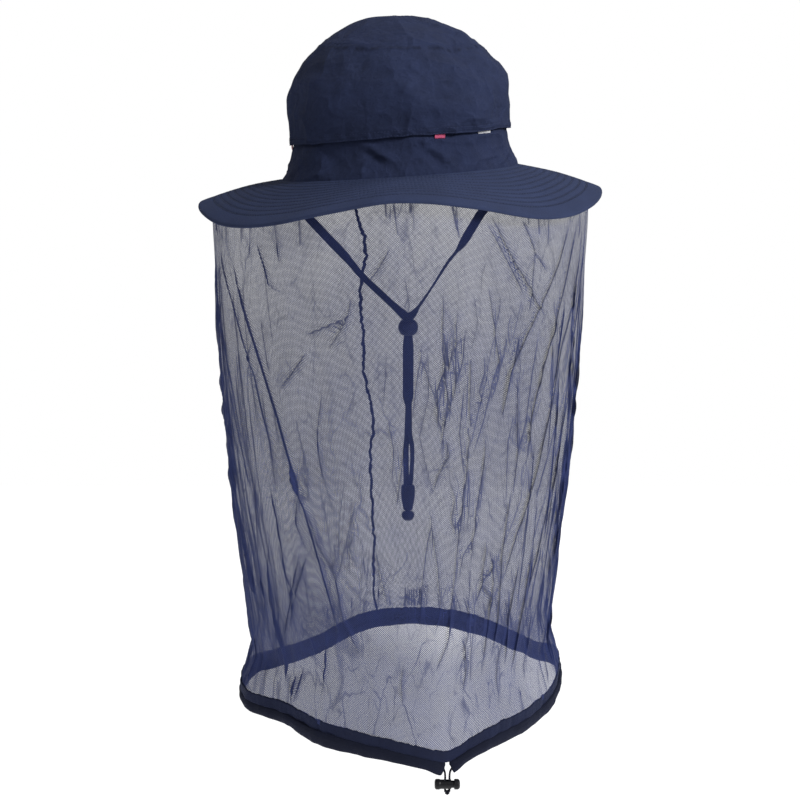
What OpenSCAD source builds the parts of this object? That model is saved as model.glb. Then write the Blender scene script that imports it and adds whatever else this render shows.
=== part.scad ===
// Beekeeping veil: a soft sun hat with a net sewn under its brim, a drawcord hem and a chin strap.
// Millimetres. The origin is the middle of the head opening, +Z points up and the face looks along -Y.

/* [Crown] */
// Half of the crown's width where it meets the brim
crown_half_w = 98; // [92:1:104]
// Half of the crown's depth, front to back, where it meets the brim
crown_half_d = 105; // [98:1:112]
// Height of the crown's top above the head opening
crown_h = 126; // [118:1:134]
// Height of the stitched ring that joins the oval tip to the side panel
tip_seam_h = 103; // [98:1:106]
// Thickness of the crown's cloth
cloth_t = 1.2; // [0.8:0.1:1.4]

/* [Brim] */
// Width of the brim from the crown to its edge
brim_w = 70; // [60:1:80]
// How far the brim's edge droops below the head opening, on average
brim_droop = 19; // [12:1:24]
// Thickness of each of the brim's three layers
brim_layer_t = 0.8; // [0.6:0.1:1]
// Distance from the brim's edge to the middle of the net's sewing tape
net_inset = 11; // [8:1:16]

/* [Net] */
// Depth of the hem's top edge below the head opening
net_drop = 441; // [400:1:480]
// Thickness allowed for the gathered net
net_t = 1.2; // [1:0.1:2]

/* [Hem] */
// Height of the flat upper strip of the hem
hem_band_h = 9; // [7:0.5:11]
// Height of the rolled casing that holds the drawcord
casing_h = 9.6; // [8:0.2:12]
// Diameter of the drawcord
cord_d = 1.8; // [1.6:0.1:2]
// Angle round the hem at which the drawcord comes out, from +X
cord_exit_a = 285; // [280:1:290]

/* [Cord lock] */
// Radius of the cord lock's two round ends
lock_end_r = 4.3; // [4:0.1:4.8]
// Travel of the cord lock's button
lock_travel = 2.2; // [1.8:0.1:2.2]

/* [Chin strap] */
// Width of the chin strap's tape
strap_w = 7.5; // [6.5:0.1:8]
// Thickness of the chin strap's tape
strap_t = 1; // [0.8:0.1:1.1]
// Radius of the slider's ball
slider_r = 8.5; // [7.5:0.1:9]
// Height of the slider between its flat ends
slider_h = 12.8; // [11:0.2:14]

/* [Hidden] */

$fn = 48;
ring_n = 64;
ring_angles = [for (i = [0 : ring_n - 1]) i * 360 / ring_n];
navy = [0.16, 0.19, 0.3];
deep_navy = [0.11, 0.12, 0.19];
net_blue = [0.45, 0.47, 0.56, 0.6];
dark_plastic = [0.15, 0.15, 0.18];
label_pink = [0.75, 0.35, 0.42];
layer_gap = 0.1;

// ---- helpers ----

function mix(a, b, f) = a + (b - a) * f;

// Signed difference between two angles, from -180 to 180
function turn(a, b) = (a - b + 540) % 360 - 180;

// A bump of height 1 at angle a0 that fades over about w degrees
function bump(a, a0, w) = exp(-pow(turn(a, a0) / w, 2));

// A smooth curve through four values, between the middle two
function smooth4(p, q, r, s, f) =
    q + f * (r - p + f * (2 * p - 5 * q + 4 * r - s + f * (3 * (q - r) + s - p))) / 2;

// A closed ring of closed sections, each a list of points: its outer side from first to last,
// then its inner side back again. Both sides are split along the same diagonals, so that layers
// of one shape lie flat.
module ring_shell(sections) {
    n = len(sections);
    m = len(sections[0]);
    faces = [
        for (i = [0 : n - 1], j = [0 : m - 1])
            let (a = i * m + j, b = i * m + (j + 1) % m, c = ((i + 1) % n) * m + (j + 1) % m,
                d = ((i + 1) % n) * m + j)
            each j < m / 2 ? [[a, b, c], [a, c, d]] : [[a, b, d], [b, c, d]]
    ];
    polyhedron([for (s = sections) each s], faces, convexity = 10);
}

// A run of closed sections with a flat cap at each end
module swept(sections) {
    n = len(sections);
    m = len(sections[0]);
    faces = [
        for (i = [0 : n - 2], j = [0 : m - 1])
            let (a = i * m + j, b = i * m + (j + 1) % m) each [[a, b, b + m], [a, b + m, a + m]]
    ];
    first = [for (j = [1 : m - 2]) [0, j + 1, j]];
    last = [for (j = [1 : m - 2]) [(n - 1) * m, (n - 1) * m + j, (n - 1) * m + j + 1]];
    polyhedron([for (s = sections) each s], concat(faces, first, last), convexity = 10);
}

// A round cord of diameter d and m sides along a list of points
module cord(path, d, m) {
    n = len(path);
    swept([
        for (i = [0 : n - 1])
            let (dir = path[min(i + 1, n - 1)] - path[max(i - 1, 0)], z = dir / norm(dir),
                side = abs(z.z) > 0.9 ? [0, 1, 0] : [0, 0, 1], x = cross(side, z) / norm(cross(side, z)),
                y = cross(z, x))
            [for (j = [0 : m - 1]) path[i] + d / 2 * (cos(j * 360 / m) * x + sin(j * 360 / m) * y)]
    ]);
}

// ---- the hat's curves ----

// Height of the seam between crown and brim at angle a
function seam_z(a) = 1 + 6.6 * cos(a) - 6 * sin(a);

// Height of the side panel's hemmed lower edge at angle a
function flap_z(a) = 29.6 + 7.4 * cos(a) - 6.5 * sin(a);

// How far the lower band stands in from the crown's base at height h above its seam
function band_inset(h) = lookup(h, [[-2, 0], [1, 0.6], [8, 4.5], [20, 8.5], [30, 10.5], [60, 10.5]]);

// How far the side panel stands in from the crown's base at height z
function side_inset(z) =
    lookup(z, [
        [20, 7.5], [34, 7.3], [46, 6.5], [58, 7], [76, 11.5], [90, 19.5], [98, 27], [tip_seam_h, 34]
    ]);

// A point on the crown that stands in by an inset at angle a and height z
function crown_pt(a, inset, z) = [(crown_half_w - inset) * cos(a), (crown_half_d - inset) * sin(a), z];

// Height of the brim's edge at angle a: it lifts at the front and back and dips at the four corners
function edge_z(a) = 5.5 * cos(2 * a + 180) + 7 * cos(4 * a) + 5.5 * cos(a) - 3 * sin(a) - brim_droop;

// A point on the brim, from u = 0 at the crown to u = 1 at the edge, lifted by dz
function brim_pt(a, u, dz) = [
    (crown_half_w - 1 + brim_w * u) * cos(a),
    (crown_half_d - 1 + brim_w * u) * sin(a),
    mix(seam_z(a), edge_z(a), u) + 2 * sin(180 * u) + dz
];

// The closed section of a layer of the brim through the stations us: its top lies at dz
function brim_section(a, us, dz, t) = let (n = len(us) - 1) concat(
    [for (i = [0 : n]) brim_pt(a, us[i], dz)],
    [for (i = [n : -1 : 0]) brim_pt(a, us[i], dz - t)]
);

// The closed section of a crown wall between heights z0 and z1, with f giving the outer inset
function wall(a, z0, z1, n, t, f) = concat(
    [for (i = [0 : n]) let (z = mix(z0, z1, i / n)) crown_pt(a, f(z), z)],
    [for (i = [n : -1 : 0]) let (z = mix(z0, z1, i / n)) crown_pt(a, f(z) + t, z)]
);

// ---- the net's and the hem's curves ----

// Distance from the axis to the hem at every 20 degrees: the hem hangs in a soft uneven loop
hem_radii = [143, 136, 133, 138, 140, 134, 113, 103, 113, 134, 145, 128, 134, 141, 150, 144, 141, 141];
hem_step = 360 / len(hem_radii);

function hem_r(a) =
    let (n = len(hem_radii), k = (a % 360 + 360) % 360 / hem_step, i = floor(k), r = hem_radii)
    smooth4(r[(i + n - 1) % n], r[i % n], r[(i + 1) % n], r[(i + 2) % n], k - i);

// Height of the hem's top edge: it dips in a V where the drawcord comes out, and rises at both sides
function hem_z(a) =
    let (t = turn(a, cord_exit_a), dip = exp(-(sqrt(t * t + 9) - 3) / (t > 0 ? 8 : 10.5)))
    -net_drop - 1.5 * sin(a) - 14 * dip + 12 * bump(a, 3, 13) + 7 * bump(a, 181, 13);

net_u = 1 - net_inset / brim_w;
tape_gap = 0.15;
tape_dz = -3 * (brim_layer_t + layer_gap) - tape_gap;
tape_t = 0.8;
net_dz = tape_dz - tape_t - layer_gap;
waist_s = 0.92;

function top_r(a) =
    let (w = crown_half_w - 1 + brim_w * net_u, d = crown_half_d - 1 + brim_w * net_u)
    w * d / norm([d * cos(a), w * sin(a)]);

// The net draws in to a waist just above the hem
function waist_r(a) = mix(hem_r(a), 140, 0.5) - 9;

function net_r(a, s) = s < waist_s
    ? mix(top_r(a), waist_r(a), pow(s / waist_s, 1.8))
    : mix(waist_r(a), hem_r(a), pow((s - waist_s) / (1 - waist_s), 1.3));

function net_top_z(a) = brim_pt(a, net_u, net_dz).z - 0.6;

// A point of the net at angle a, from s = 0 under the brim to s = 1 at the hem, pushed out by dr
function net_pt(a, s, dr) =
    let (r = net_r(a, s) + dr) [r * cos(a), r * sin(a), mix(net_top_z(a), hem_z(a) + 0.4, s)];

net_rows = [0, 0.12, 0.26, 0.4, 0.54, 0.68, 0.8, 0.88, 0.93, 0.97, 1];

// ---- crown ----

tip_half_w = crown_half_w - 34;
tip_half_d = crown_half_d - 34;
tip_rings = [1, 0.93, 0.82, 0.66, 0.46, 0.24];

tip_edge_z = tip_seam_h + cloth_t + 0.2;

function tip_z(rho) = mix(crown_h, tip_edge_z, pow(rho, 2.3));

function tip_ring(rho, dz) =
    [for (a = ring_angles) [tip_half_w * rho * cos(a), tip_half_d * rho * sin(a), tip_z(rho) + dz]];

// The oval tip: a shallow dome of cloth
module crown_tip() {
    color(navy) {
        m = ring_n;
        k = len(tip_rings);
        rings = [for (dz = [0, -cloth_t], r = tip_rings) each tip_ring(r, dz)];
        top = len(rings);
        upper = [
            for (i = [0 : k - 2], j = [0 : m - 1])
                let (a = i * m + j, b = i * m + (j + 1) % m) each [[a, b + m, b], [a, a + m, b + m]]
        ];
        lower = [for (f = upper) [f[0] + k * m, f[2] + k * m, f[1] + k * m]];
        rim = [
            for (j = [0 : m - 1])
                let (b = (j + 1) % m) each [[j, b, b + k * m], [j, b + k * m, j + k * m]]
        ];
        caps = [
            for (j = [0 : m - 1]) let (b = (j + 1) % m)
                each [[(k - 1) * m + j, top, (k - 1) * m + b],
                    [(2 * k - 1) * m + j, (2 * k - 1) * m + b, top + 1]]
        ];
        polyhedron(concat(rings, [[0, 0, crown_h], [0, 0, crown_h - cloth_t]]),
            concat(upper, lower, rim, caps), convexity = 10);
    }
}

// The tall side panel, whose hemmed lower edge hangs free over the band like a flap
module crown_side() {
    color(navy)
        ring_shell([
            for (a = ring_angles) wall(a, flap_z(a), tip_seam_h, 8, cloth_t, function (z) side_inset(z))
        ]);
}

// The vent mesh behind the flap
module crown_vent_mesh() {
    mesh_t = 0.6;
    behind = cloth_t + 0.6;
    color(deep_navy)
        ring_shell([
            for (a = ring_angles)
                wall(a, flap_z(a) + 6, flap_z(a) + 32, 3, mesh_t, function (z) side_inset(z) + behind)
        ]);
}

// The lower band, between the brim and the flap
module crown_band() {
    color(navy)
        ring_shell([
            for (a = ring_angles)
                wall(a, seam_z(a) + 0.2, flap_z(a) + 12, 6, 1, function (z) band_inset(z - seam_z(a)))
        ]);
}

// The sweatband, sewn in behind the band
module sweatband() {
    color(deep_navy)
        ring_shell([
            for (a = ring_angles)
                wall(a, seam_z(a) - 1, seam_z(a) + 29, 4, 1.5, function (z) band_inset(z - seam_z(a)) + 1.5)
        ]);
}

// ---- brim ----

// All three layers share their stations, so that they lie flat on each other; each ends at its own u1
module brim_layer(index, u1) {
    us = [0.002, 0.17, 0.34, 0.51, 0.68, 0.84, u1];
    dz = -index * (brim_layer_t + layer_gap);
    ring_shell([for (a = ring_angles) brim_section(a, us, dz, brim_layer_t)]);
}

// The topstitched upper cloth of the brim
module brim_top() {
    color(navy) brim_layer(0, 1);
}

// The stiff interlining between the brim's two cloths
module brim_interlining() {
    color(deep_navy) brim_layer(1, 0.985);
}

// The under cloth of the brim
module brim_underside() {
    color(navy) brim_layer(2, 0.995);
}

// ---- net ----

// The tape that sews the net's top edge to the underside of the brim
module veil_tape() {
    half = 5 / brim_w;
    color(navy)
        ring_shell([
            for (a = ring_angles) brim_section(a, [net_u - half, net_u + half], tape_dz, tape_t)
        ]);
}

// The net: one tube of gathered cloth, open at the top and at the hem
module veil_net() {
    rows = len(net_rows) - 1;
    color(net_blue)
        ring_shell([
            for (a = ring_angles)
                concat([for (i = [0 : rows]) net_pt(a, net_rows[i], 0)],
                    [for (i = [rows : -1 : 0]) net_pt(a, net_rows[i], -net_t)])
        ]);
}

// The bound seam that closes the net's tube at the back
module veil_back_seam() {
    seam_a = 103;
    half_a = 0.7;
    color(deep_navy)
        swept([
            for (s = net_rows)
                let (a = seam_a + 2 * sin(900 * s))
                [net_pt(a - half_a, s, 0.3), net_pt(a + half_a, s, 0.3),
                    net_pt(a + half_a, s, 1.5), net_pt(a - half_a, s, 1.5)]
        ]);
}

// ---- hem ----

function hem_pt(a, dr, dz) = [(hem_r(a) + dr) * cos(a), (hem_r(a) + dr) * sin(a), hem_z(a) + dz];

casing_dz = -hem_band_h - 0.3 - casing_h / 2;
casing_half_t = 2.8;
channel_r = 1.7;
casing_gap_a = 1.9;

// The flat upper strip of the hem, gathered onto the net
module hem_band() {
    half = 0.9;
    color(navy)
        ring_shell([
            for (a = ring_angles)
                [
                    hem_pt(a, half, -hem_band_h), hem_pt(a, half, 0),
                    hem_pt(a, -half, 0), hem_pt(a, -half, -hem_band_h)
                ]
        ]);
}

casing_steps = 72;
casing_angles = [
    for (i = [0 : casing_steps]) cord_exit_a + casing_gap_a + (360 - 2 * casing_gap_a) * i / casing_steps
];

// The rolled casing: a flattened tube, cut open where the drawcord comes out
module hem_casing() {
    m = 8;
    steps = casing_steps;
    angles = casing_angles;
    outer = [
        for (a = angles, j = [0 : m - 1])
            hem_pt(a, casing_half_t * cos(j * 360 / m), casing_dz + casing_h / 2 * sin(j * 360 / m))
    ];
    inner = [
        for (a = angles, j = [0 : m - 1])
            hem_pt(a, channel_r * cos(j * 360 / m), casing_dz + channel_r * sin(j * 360 / m))
    ];
    k = len(outer);
    out_faces = [
        for (i = [0 : steps - 1], j = [0 : m - 1])
            let (a = i * m + j, b = i * m + (j + 1) % m) each [[a, b, b + m], [a, b + m, a + m]]
    ];
    in_faces = [for (f = out_faces) [f[0] + k, f[2] + k, f[1] + k]];
    first = [for (j = [0 : m - 1]) let (b = (j + 1) % m) each [[j, j + k, b + k], [j, b + k, b]]];
    last = [for (f = first) [f[0] + steps * m, f[2] + steps * m, f[1] + steps * m]];
    color(deep_navy)
        polyhedron(concat(outer, inner), concat(out_faces, in_faces, first, last), convexity = 12);
}

lock_at = [hem_r(cord_exit_a) * cos(cord_exit_a), hem_r(cord_exit_a) * sin(cord_exit_a), -net_drop - 42];
strand_x = 1.8;

// One end of the drawcord, from inside the knot up to the casing's mouth, on the side given by 1 or -1
function strand(side) = [
    for (p = [[strand_x, -5.6], [strand_x, 0], [strand_x, 8], [2.3, 11.5], [3.6, 14.6]])
        lock_at + [side * p.x, 0, p.y]
];

// The drawcord: a loop all the way round inside the casing, with both ends out at the front
module hem_drawcord() {
    n = casing_steps;
    start_a = casing_gap_a + 0.4;
    loop = [
        for (i = [0 : n])
            let (a = i == 0 ? cord_exit_a + start_a : i == n ? cord_exit_a - start_a : casing_angles[i])
                hem_pt(a, 0, casing_dz)
    ];
    back = strand(-1);
    color(deep_navy)
        cord(concat(strand(1), loop, [for (i = [len(back) - 1 : -1 : 0]) back[i]]), cord_d, 8);
}

// The knot that keeps the lock on the drawcord's two ends
module drawcord_knot() {
    knot_r = 2.3;
    color(deep_navy) translate(lock_at + [0, 0, -lock_end_r - knot_r - 0.2]) sphere(knot_r);
}

// ---- cord lock: a sprung plunger in a barrel, lying along X ----

barrel_r = 3.8;
bore_r = 3.05;
bore_end_x = -9;
barrel_end_x = 3.3;
shaft_r = 2.98;
shaft_end_x = -5.6;
button_x = barrel_end_x + lock_travel + 0.1;
lock_half = 10.4;
slot_y = 1.2;
slot_x = strand_x + cord_d / 2 + 0.2;

module along_x() {
    translate(lock_at) rotate([0, 90, 0]) children();
}

module hem_lock_body() {
    round_r = 1.6;
    color(dark_plastic)
        difference() {
            along_x()
                rotate_extrude()
                    polygon([
                        [0, -lock_half], [lock_end_r - round_r, -lock_half],
                        [lock_end_r - 0.4, -lock_half + 0.6], [lock_end_r, -lock_half + round_r],
                        [lock_end_r, -6.6], [barrel_r, -5.4],
                        [barrel_r, barrel_end_x], [0, barrel_end_x]
                    ]);
            along_x() translate([0, 0, bore_end_x]) cylinder(r = bore_r, h = 20);
            translate(lock_at - [slot_x, slot_y, 6]) cube([2 * slot_x, 2 * slot_y, 12]);
        }
}

module hem_lock_plunger() {
    color(dark_plastic)
        difference() {
            along_x() {
                translate([0, 0, shaft_end_x]) cylinder(r = shaft_r, h = button_x - shaft_end_x + 0.5);
                rotate_extrude()
                    polygon([
                        [0, button_x], [lock_end_r - 0.4, button_x], [lock_end_r, button_x + 0.5],
                        [lock_end_r, lock_half - 1.8], [lock_end_r - 0.6, lock_half - 0.7],
                        [lock_end_r - 1.8, lock_half], [0, lock_half]
                    ]);
            }
            translate(lock_at - [slot_x, slot_y, 6]) cube([2 * slot_x + lock_travel, 2 * slot_y, 12]);
        }
}

// The coil spring between the barrel's blind end and the plunger
module hem_lock_spring() {
    wire_d = 0.4;
    coil_r = 2.3;
    turns = 3;
    steps = 36;
    x0 = bore_end_x + wire_d / 2 + 0.05;
    x1 = shaft_end_x - wire_d / 2 - 0.05;
    color("silver")
        cord([
            for (i = [0 : steps])
                lock_at + [mix(x0, x1, i / steps), coil_r * cos(turns * 360 * i / steps),
                    coil_r * sin(turns * 360 * i / steps)]
        ], wire_d, 6);
}

// ---- chin strap ----

tail_x = 7;
slider_at = [tail_x, 0, -131];
sleeve_top_z = -272;
sleeve_bottom_z = -295;
hinge_z = -9;
layer_y = strap_t / 2 + 0.2;

// Each tape hangs from its anchor, meets the other above the slider and runs on down as the tail
left_route = [
    [-89, -10.6], [-86, -21], [-80, -33], [-63, -52], [-46, -70], [-31, -88], [-13, -105], [1, -118],
    [tail_x - 0.6, -123], [tail_x, -126], [tail_x, -160], [tail_x, -195], [tail_x, -235],
    [tail_x, sleeve_top_z]
];
right_route = [
    [89, -10.6], [82, -19], [70, -31], [60, -47], [51, -62], [40, -76], [26, -98], [13, -117],
    [tail_x + 0.6, -123], [tail_x, -126], [tail_x, -160], [tail_x, -195], [tail_x, -235],
    [tail_x, sleeve_top_z]
];

// A flat tape along a route in the XZ plane, its middle at distance y from that plane
module tape(route, y) {
    n = len(route);
    swept([
        for (i = [0 : n - 1])
            let (dir = i == 0 || i == n - 1 ? [0, -1] : route[i + 1] - route[i - 1], u = dir / norm(dir),
                x = -u.y * strap_w / 2, z = u.x * strap_w / 2, c = route[i])
            [
                [c.x - x, y - strap_t / 2, c.y - z], [c.x + x, y - strap_t / 2, c.y + z],
                [c.x + x, y + strap_t / 2, c.y + z], [c.x - x, y + strap_t / 2, c.y - z]
            ]
    ]);
}

module chin_strap_left() {
    color(navy) tape(left_route, -layer_y);
}

module chin_strap_right() {
    color(navy) tape(right_route, layer_y);
}

// Two folded tabs, sewn to the sweatband's lower edge, that the strap hangs from
module chin_strap_anchors() {
    tab_t = 2.4;
    color(navy)
        for (side = [-1, 1]) {
            top_z = seam_z(side > 0 ? 0 : 180) + 0.8;
            translate([side * 89 - 4, -tab_t / 2, hinge_z - 0.9]) cube([8, tab_t, top_z - hinge_z + 0.9]);
        }
}

// The slider: a ball with two flat ends and a slot for both tapes
module chin_slider() {
    side_gap = 0.8;
    face_gap = 0.3;
    slot_w = strap_w + 2 * side_gap;
    slot_d = 2 * (layer_y + face_gap) + strap_t;
    color(dark_plastic)
        translate(slider_at)
            difference() {
                intersection() {
                    sphere(slider_r);
                    translate([-10, -10, -slider_h / 2]) cube([20, 20, slider_h]);
                }
                cube([slot_w, slot_d, 3 * slider_r], center = true);
            }
}

// The tapered sleeve that grips both tapes' ends
module strap_end_sleeve() {
    color(navy)
        hull() {
            for (side = [-1, 1]) {
                translate([tail_x + side * 3.9, 0, sleeve_top_z - 2]) cylinder(r = 2.2, h = 2, $fn = 32);
                translate([tail_x + side * 2.2, 0, sleeve_bottom_z]) cylinder(r = 1.8, h = 2, $fn = 32);
            }
        }
}

// The bead at the very end of the strap
module strap_end_bead() {
    color(navy)
        translate([tail_x, 0, sleeve_bottom_z])
            rotate_extrude()
                polygon([
                    [0, 0], [2, 0], [2.2, -1.2], [4.6, -2], [5.6, -4], [5.4, -6.6], [4, -8.6], [0, -9.4]
                ]);
}

// ---- labels ----

tab_gap = 0.5;
strip_gap = 0.7;

// A small folded ribbon that peeps out under the flap at angle a
module ribbon(a, w, h, t, inset) {
    translate(crown_pt(a, inset, flap_z(a) - h + 0.8))
        rotate([0, 0, a]) translate([-t / 2, -w / 2, 0]) cube([t, w, h]);
}

module label_tab_front() {
    color(label_pink) ribbon(290, 8.5, 4, 0.4, side_inset(36) + cloth_t + tab_gap);
}

module label_tab_side() {
    color(label_pink) ribbon(188, 8.5, 4, 0.4, side_inset(24) + cloth_t + tab_gap);
}

module label_strip() {
    color("gainsboro") ribbon(318, 15, 3.2, 0.4, side_inset(36) + cloth_t + strip_gap);
}

crown_tip();
crown_side();
crown_vent_mesh();
crown_band();
sweatband();
brim_top();
brim_interlining();
brim_underside();
veil_tape();
veil_net();
veil_back_seam();
hem_band();
hem_casing();
hem_drawcord();
drawcord_knot();
hem_lock_body();
hem_lock_plunger();
hem_lock_spring();
chin_strap_anchors();
chin_strap_left();
chin_strap_right();
chin_slider();
strap_end_sleeve();
strap_end_bead();
label_tab_front();
label_tab_side();
label_strip();
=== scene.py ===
"""Beekeeping veil: the looks of the soft hat, its net, hem and chin strap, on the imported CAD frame."""
import math

import bpy
import numpy as np
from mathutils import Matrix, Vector


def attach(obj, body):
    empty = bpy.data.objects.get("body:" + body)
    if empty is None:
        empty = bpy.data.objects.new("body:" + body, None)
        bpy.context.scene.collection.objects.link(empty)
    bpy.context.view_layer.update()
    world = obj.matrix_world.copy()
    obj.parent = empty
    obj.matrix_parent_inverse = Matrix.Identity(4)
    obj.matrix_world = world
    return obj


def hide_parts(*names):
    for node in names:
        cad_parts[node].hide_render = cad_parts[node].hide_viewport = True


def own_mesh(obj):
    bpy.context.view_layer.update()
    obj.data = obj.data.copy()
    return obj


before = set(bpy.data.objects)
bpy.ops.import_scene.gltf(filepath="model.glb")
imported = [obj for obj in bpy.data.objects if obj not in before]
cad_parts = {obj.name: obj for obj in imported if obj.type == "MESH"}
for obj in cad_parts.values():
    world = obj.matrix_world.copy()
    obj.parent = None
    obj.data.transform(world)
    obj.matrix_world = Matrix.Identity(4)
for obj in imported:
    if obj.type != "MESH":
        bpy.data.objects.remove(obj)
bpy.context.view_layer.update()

MM = 0.001
TAU = 2 * math.pi

# ---- the object's curves, in millimetres, as the CAD source has them ----

CROWN_HALF_W, CROWN_HALF_D, CROWN_H, TIP_SEAM_H, TIP_INSET = 98, 105, 126, 103, 34
CLOTH_T, BRIM_W, BRIM_DROOP, LAYER_T, LAYER_GAP = 1.2, 70, 19, 0.8, 0.1
NET_INSET, NET_DROP = 11, 441
HEM_BAND_H, CASING_H, CASING_HALF_T, CASING_GAP_A = 9, 9.6, 2.8, 1.9
CORD_D, CORD_EXIT_A = 1.8, 285
STRAP_W, STRAP_T = 7.5, 1.0
HEM_MEAN_R = 140
HEM_RADII = np.array([
    143, 136, 133, 138, 140, 134, 113, 103, 113, 134, 145, 128, 134, 141, 150, 144, 141, 141], float)
TAPE_DZ = -3 * (LAYER_T + LAYER_GAP) - 0.15
TAPE_T = 0.8
NET_DZ = TAPE_DZ - TAPE_T - LAYER_GAP
NET_U = 1 - NET_INSET / BRIM_W
CASING_DZ = -HEM_BAND_H - 0.3 - CASING_H / 2
WAIST_S = 0.92


def turn(a, deg):
    """Angle from deg to a, in degrees from -180 to 180; a in radians."""
    return (np.degrees(a) - deg + 540) % 360 - 180


def bump(a, deg, width):
    return np.exp(-((turn(a, deg) / width) ** 2))


def mix(a, b, f):
    return a + (b - a) * f


def round_pt(a, r, z):
    """Points at angle a, radius r and height z."""
    return np.stack([r * np.cos(a), r * np.sin(a), z + 0 * a], -1)


def seam_z(a):
    return 1 + 6.6 * np.cos(a) - 6 * np.sin(a)


def flap_z(a):
    return 29.6 + 7.4 * np.cos(a) - 6.5 * np.sin(a)


def edge_z(a):
    return 5.5 * np.cos(2 * a + math.pi) + 7 * np.cos(4 * a) + 5.5 * np.cos(a) - 3 * np.sin(a) - BRIM_DROOP


def softened(x, xs, ys, reach):
    """A lookup table with its corners rounded over about twice reach."""
    return sum(np.interp(x + reach * k, xs, ys) for k in (-1, -0.5, 0, 0.5, 1)) / 5


def band_inset(h):
    return softened(h, [-2, 0, 1, 8, 20, 30, 60], [0, 0, 0.6, 4.5, 8.5, 10.5, 10.5], 2)


def side_inset(z):
    heights = [10, 20, 34, 46, 58, 76, 90, 98, TIP_SEAM_H, 110]
    return softened(z, heights, [7.6, 7.5, 7.3, 6.5, 7, 11.5, 19.5, 27, 34, 41], 4)


def hem_r(a):
    k = np.degrees(a) % 360 / 20
    i = np.floor(k).astype(int)
    f = k - i
    p, q, r, s = (HEM_RADII[(i + d) % 18] for d in (-1, 0, 1, 2))
    return q + f * (r - p + f * (2 * p - 5 * q + 4 * r - s + f * (3 * (q - r) + s - p))) / 2


def hem_z(a):
    """The hem's height: a V at the cord's exit, steeper on the wearer's left, and a rise at both sides."""
    t = turn(a, CORD_EXIT_A)
    dip = np.exp(-(np.hypot(t, 3) - 3) / np.where(t > 0, 8, 10.5))
    return -NET_DROP - 1.5 * np.sin(a) - 14 * dip + 12 * bump(a, 3, 13) + 7 * bump(a, 181, 13)


def brim_pt(a, u, dz):
    return np.stack([
        (CROWN_HALF_W - 1 + BRIM_W * u) * np.cos(a),
        (CROWN_HALF_D - 1 + BRIM_W * u) * np.sin(a),
        mix(seam_z(a), edge_z(a), u) + 2 * np.sin(math.pi * u) + dz,
    ], -1)


def crown_pt(a, inset, z):
    return np.stack([(CROWN_HALF_W - inset) * np.cos(a), (CROWN_HALF_D - inset) * np.sin(a), z + 0 * a], -1)


def hem_pt(a, dr, dz):
    return round_pt(a, hem_r(a) + dr, hem_z(a) + dz)


def top_r(a):
    w, d = CROWN_HALF_W - 1 + BRIM_W * NET_U, CROWN_HALF_D - 1 + BRIM_W * NET_U
    return w * d / np.hypot(d * np.cos(a), w * np.sin(a))


def net_r(a, s):
    waist = mix(hem_r(a), HEM_MEAN_R, 0.5) - 9
    low = np.clip((s - WAIST_S) / (1 - WAIST_S), 0, 1)
    high = np.clip(s / WAIST_S, 0, 1)
    return np.where(s < WAIST_S, mix(top_r(a), waist, high ** 1.8), mix(waist, hem_r(a), low ** 1.3))


def net_top_z(a):
    return brim_pt(a, NET_U, NET_DZ)[..., 2] - 0.6


LOCK_A = math.radians(CORD_EXIT_A)
LOCK_AT = round_pt(np.array(LOCK_A), hem_r(np.array(LOCK_A)), -NET_DROP - 42)
TAIL_X, SLIDER_Z, SLEEVE_TOP, SLEEVE_BOTTOM = 7, -131, -272, -295
TAB_X, TAB_HALF_W, HINGE_Z = 89, 4, -9
LAYER_Y = STRAP_T / 2 + 0.2
TAIL_ROUTE = [(TAIL_X, z) for z in (-126, -160, -195, -235, SLEEVE_TOP)]
LEFT_ROUTE = [(-TAB_X, -10.6), (-86, -21), (-80, -33), (-63, -52), (-46, -70), (-31, -88), (-13, -105),
              (1, -118), (6.4, -123), *TAIL_ROUTE]
RIGHT_ROUTE = [(TAB_X, -10.6), (82, -19), (70, -31), (60, -47), (51, -62), (40, -76), (26, -98),
               (13, -117), (7.6, -123), *TAIL_ROUTE]

# ---- camera ----


def link(o):
    """Puts an object into the scene."""
    bpy.context.scene.collection.objects.link(o)
    return o


def aim(o, at, target):
    """Puts a camera or a light at one place and turns it towards another."""
    o.location = at
    o.rotation_mode = "QUATERNION"
    o.rotation_quaternion = (Vector(target) - Vector(at)).to_track_quat("-Z", "Y")


def make_camera():
    cam = link(bpy.data.objects.new("camera", bpy.data.cameras.new("camera")))
    aim(cam, (0, -1.25, 0.12), (0, 0, -0.1951))
    cam.data.lens = 67.04
    cam.data.sensor_width = 36
    cam.data.clip_end = 50
    bpy.context.scene.camera = cam


make_camera()

# ---- mesh helpers ----


def noise(p, size, seed):
    """Smooth noise from -1 to 1 at points p; size is that of its lumps, one number or one per axis."""
    q = p / np.asarray(size, float) + seed * 17.31
    i = np.floor(q)
    f = q - i
    f = f * f * (3 - 2 * f)
    out = 0
    for dx in (0, 1):
        for dy in (0, 1):
            for dz in (0, 1):
                phase = (i[..., 0] + dx) * 127.1 + (i[..., 1] + dy) * 311.7 + (i[..., 2] + dz) * 74.7
                h = np.sin(phase) * 43758.5453
                w = abs(1 - dx - f[..., 0]) * abs(1 - dy - f[..., 1]) * abs(1 - dz - f[..., 2])
                out = out + (h - np.floor(h)) * w
    return out * 2 - 1


def fbm(p, size, seed, octaves=3):
    size = np.asarray(size, float)
    return sum(noise(p, size / 2 ** k, seed + k) / 2 ** k for k in range(octaves)) / 1.5


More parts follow.
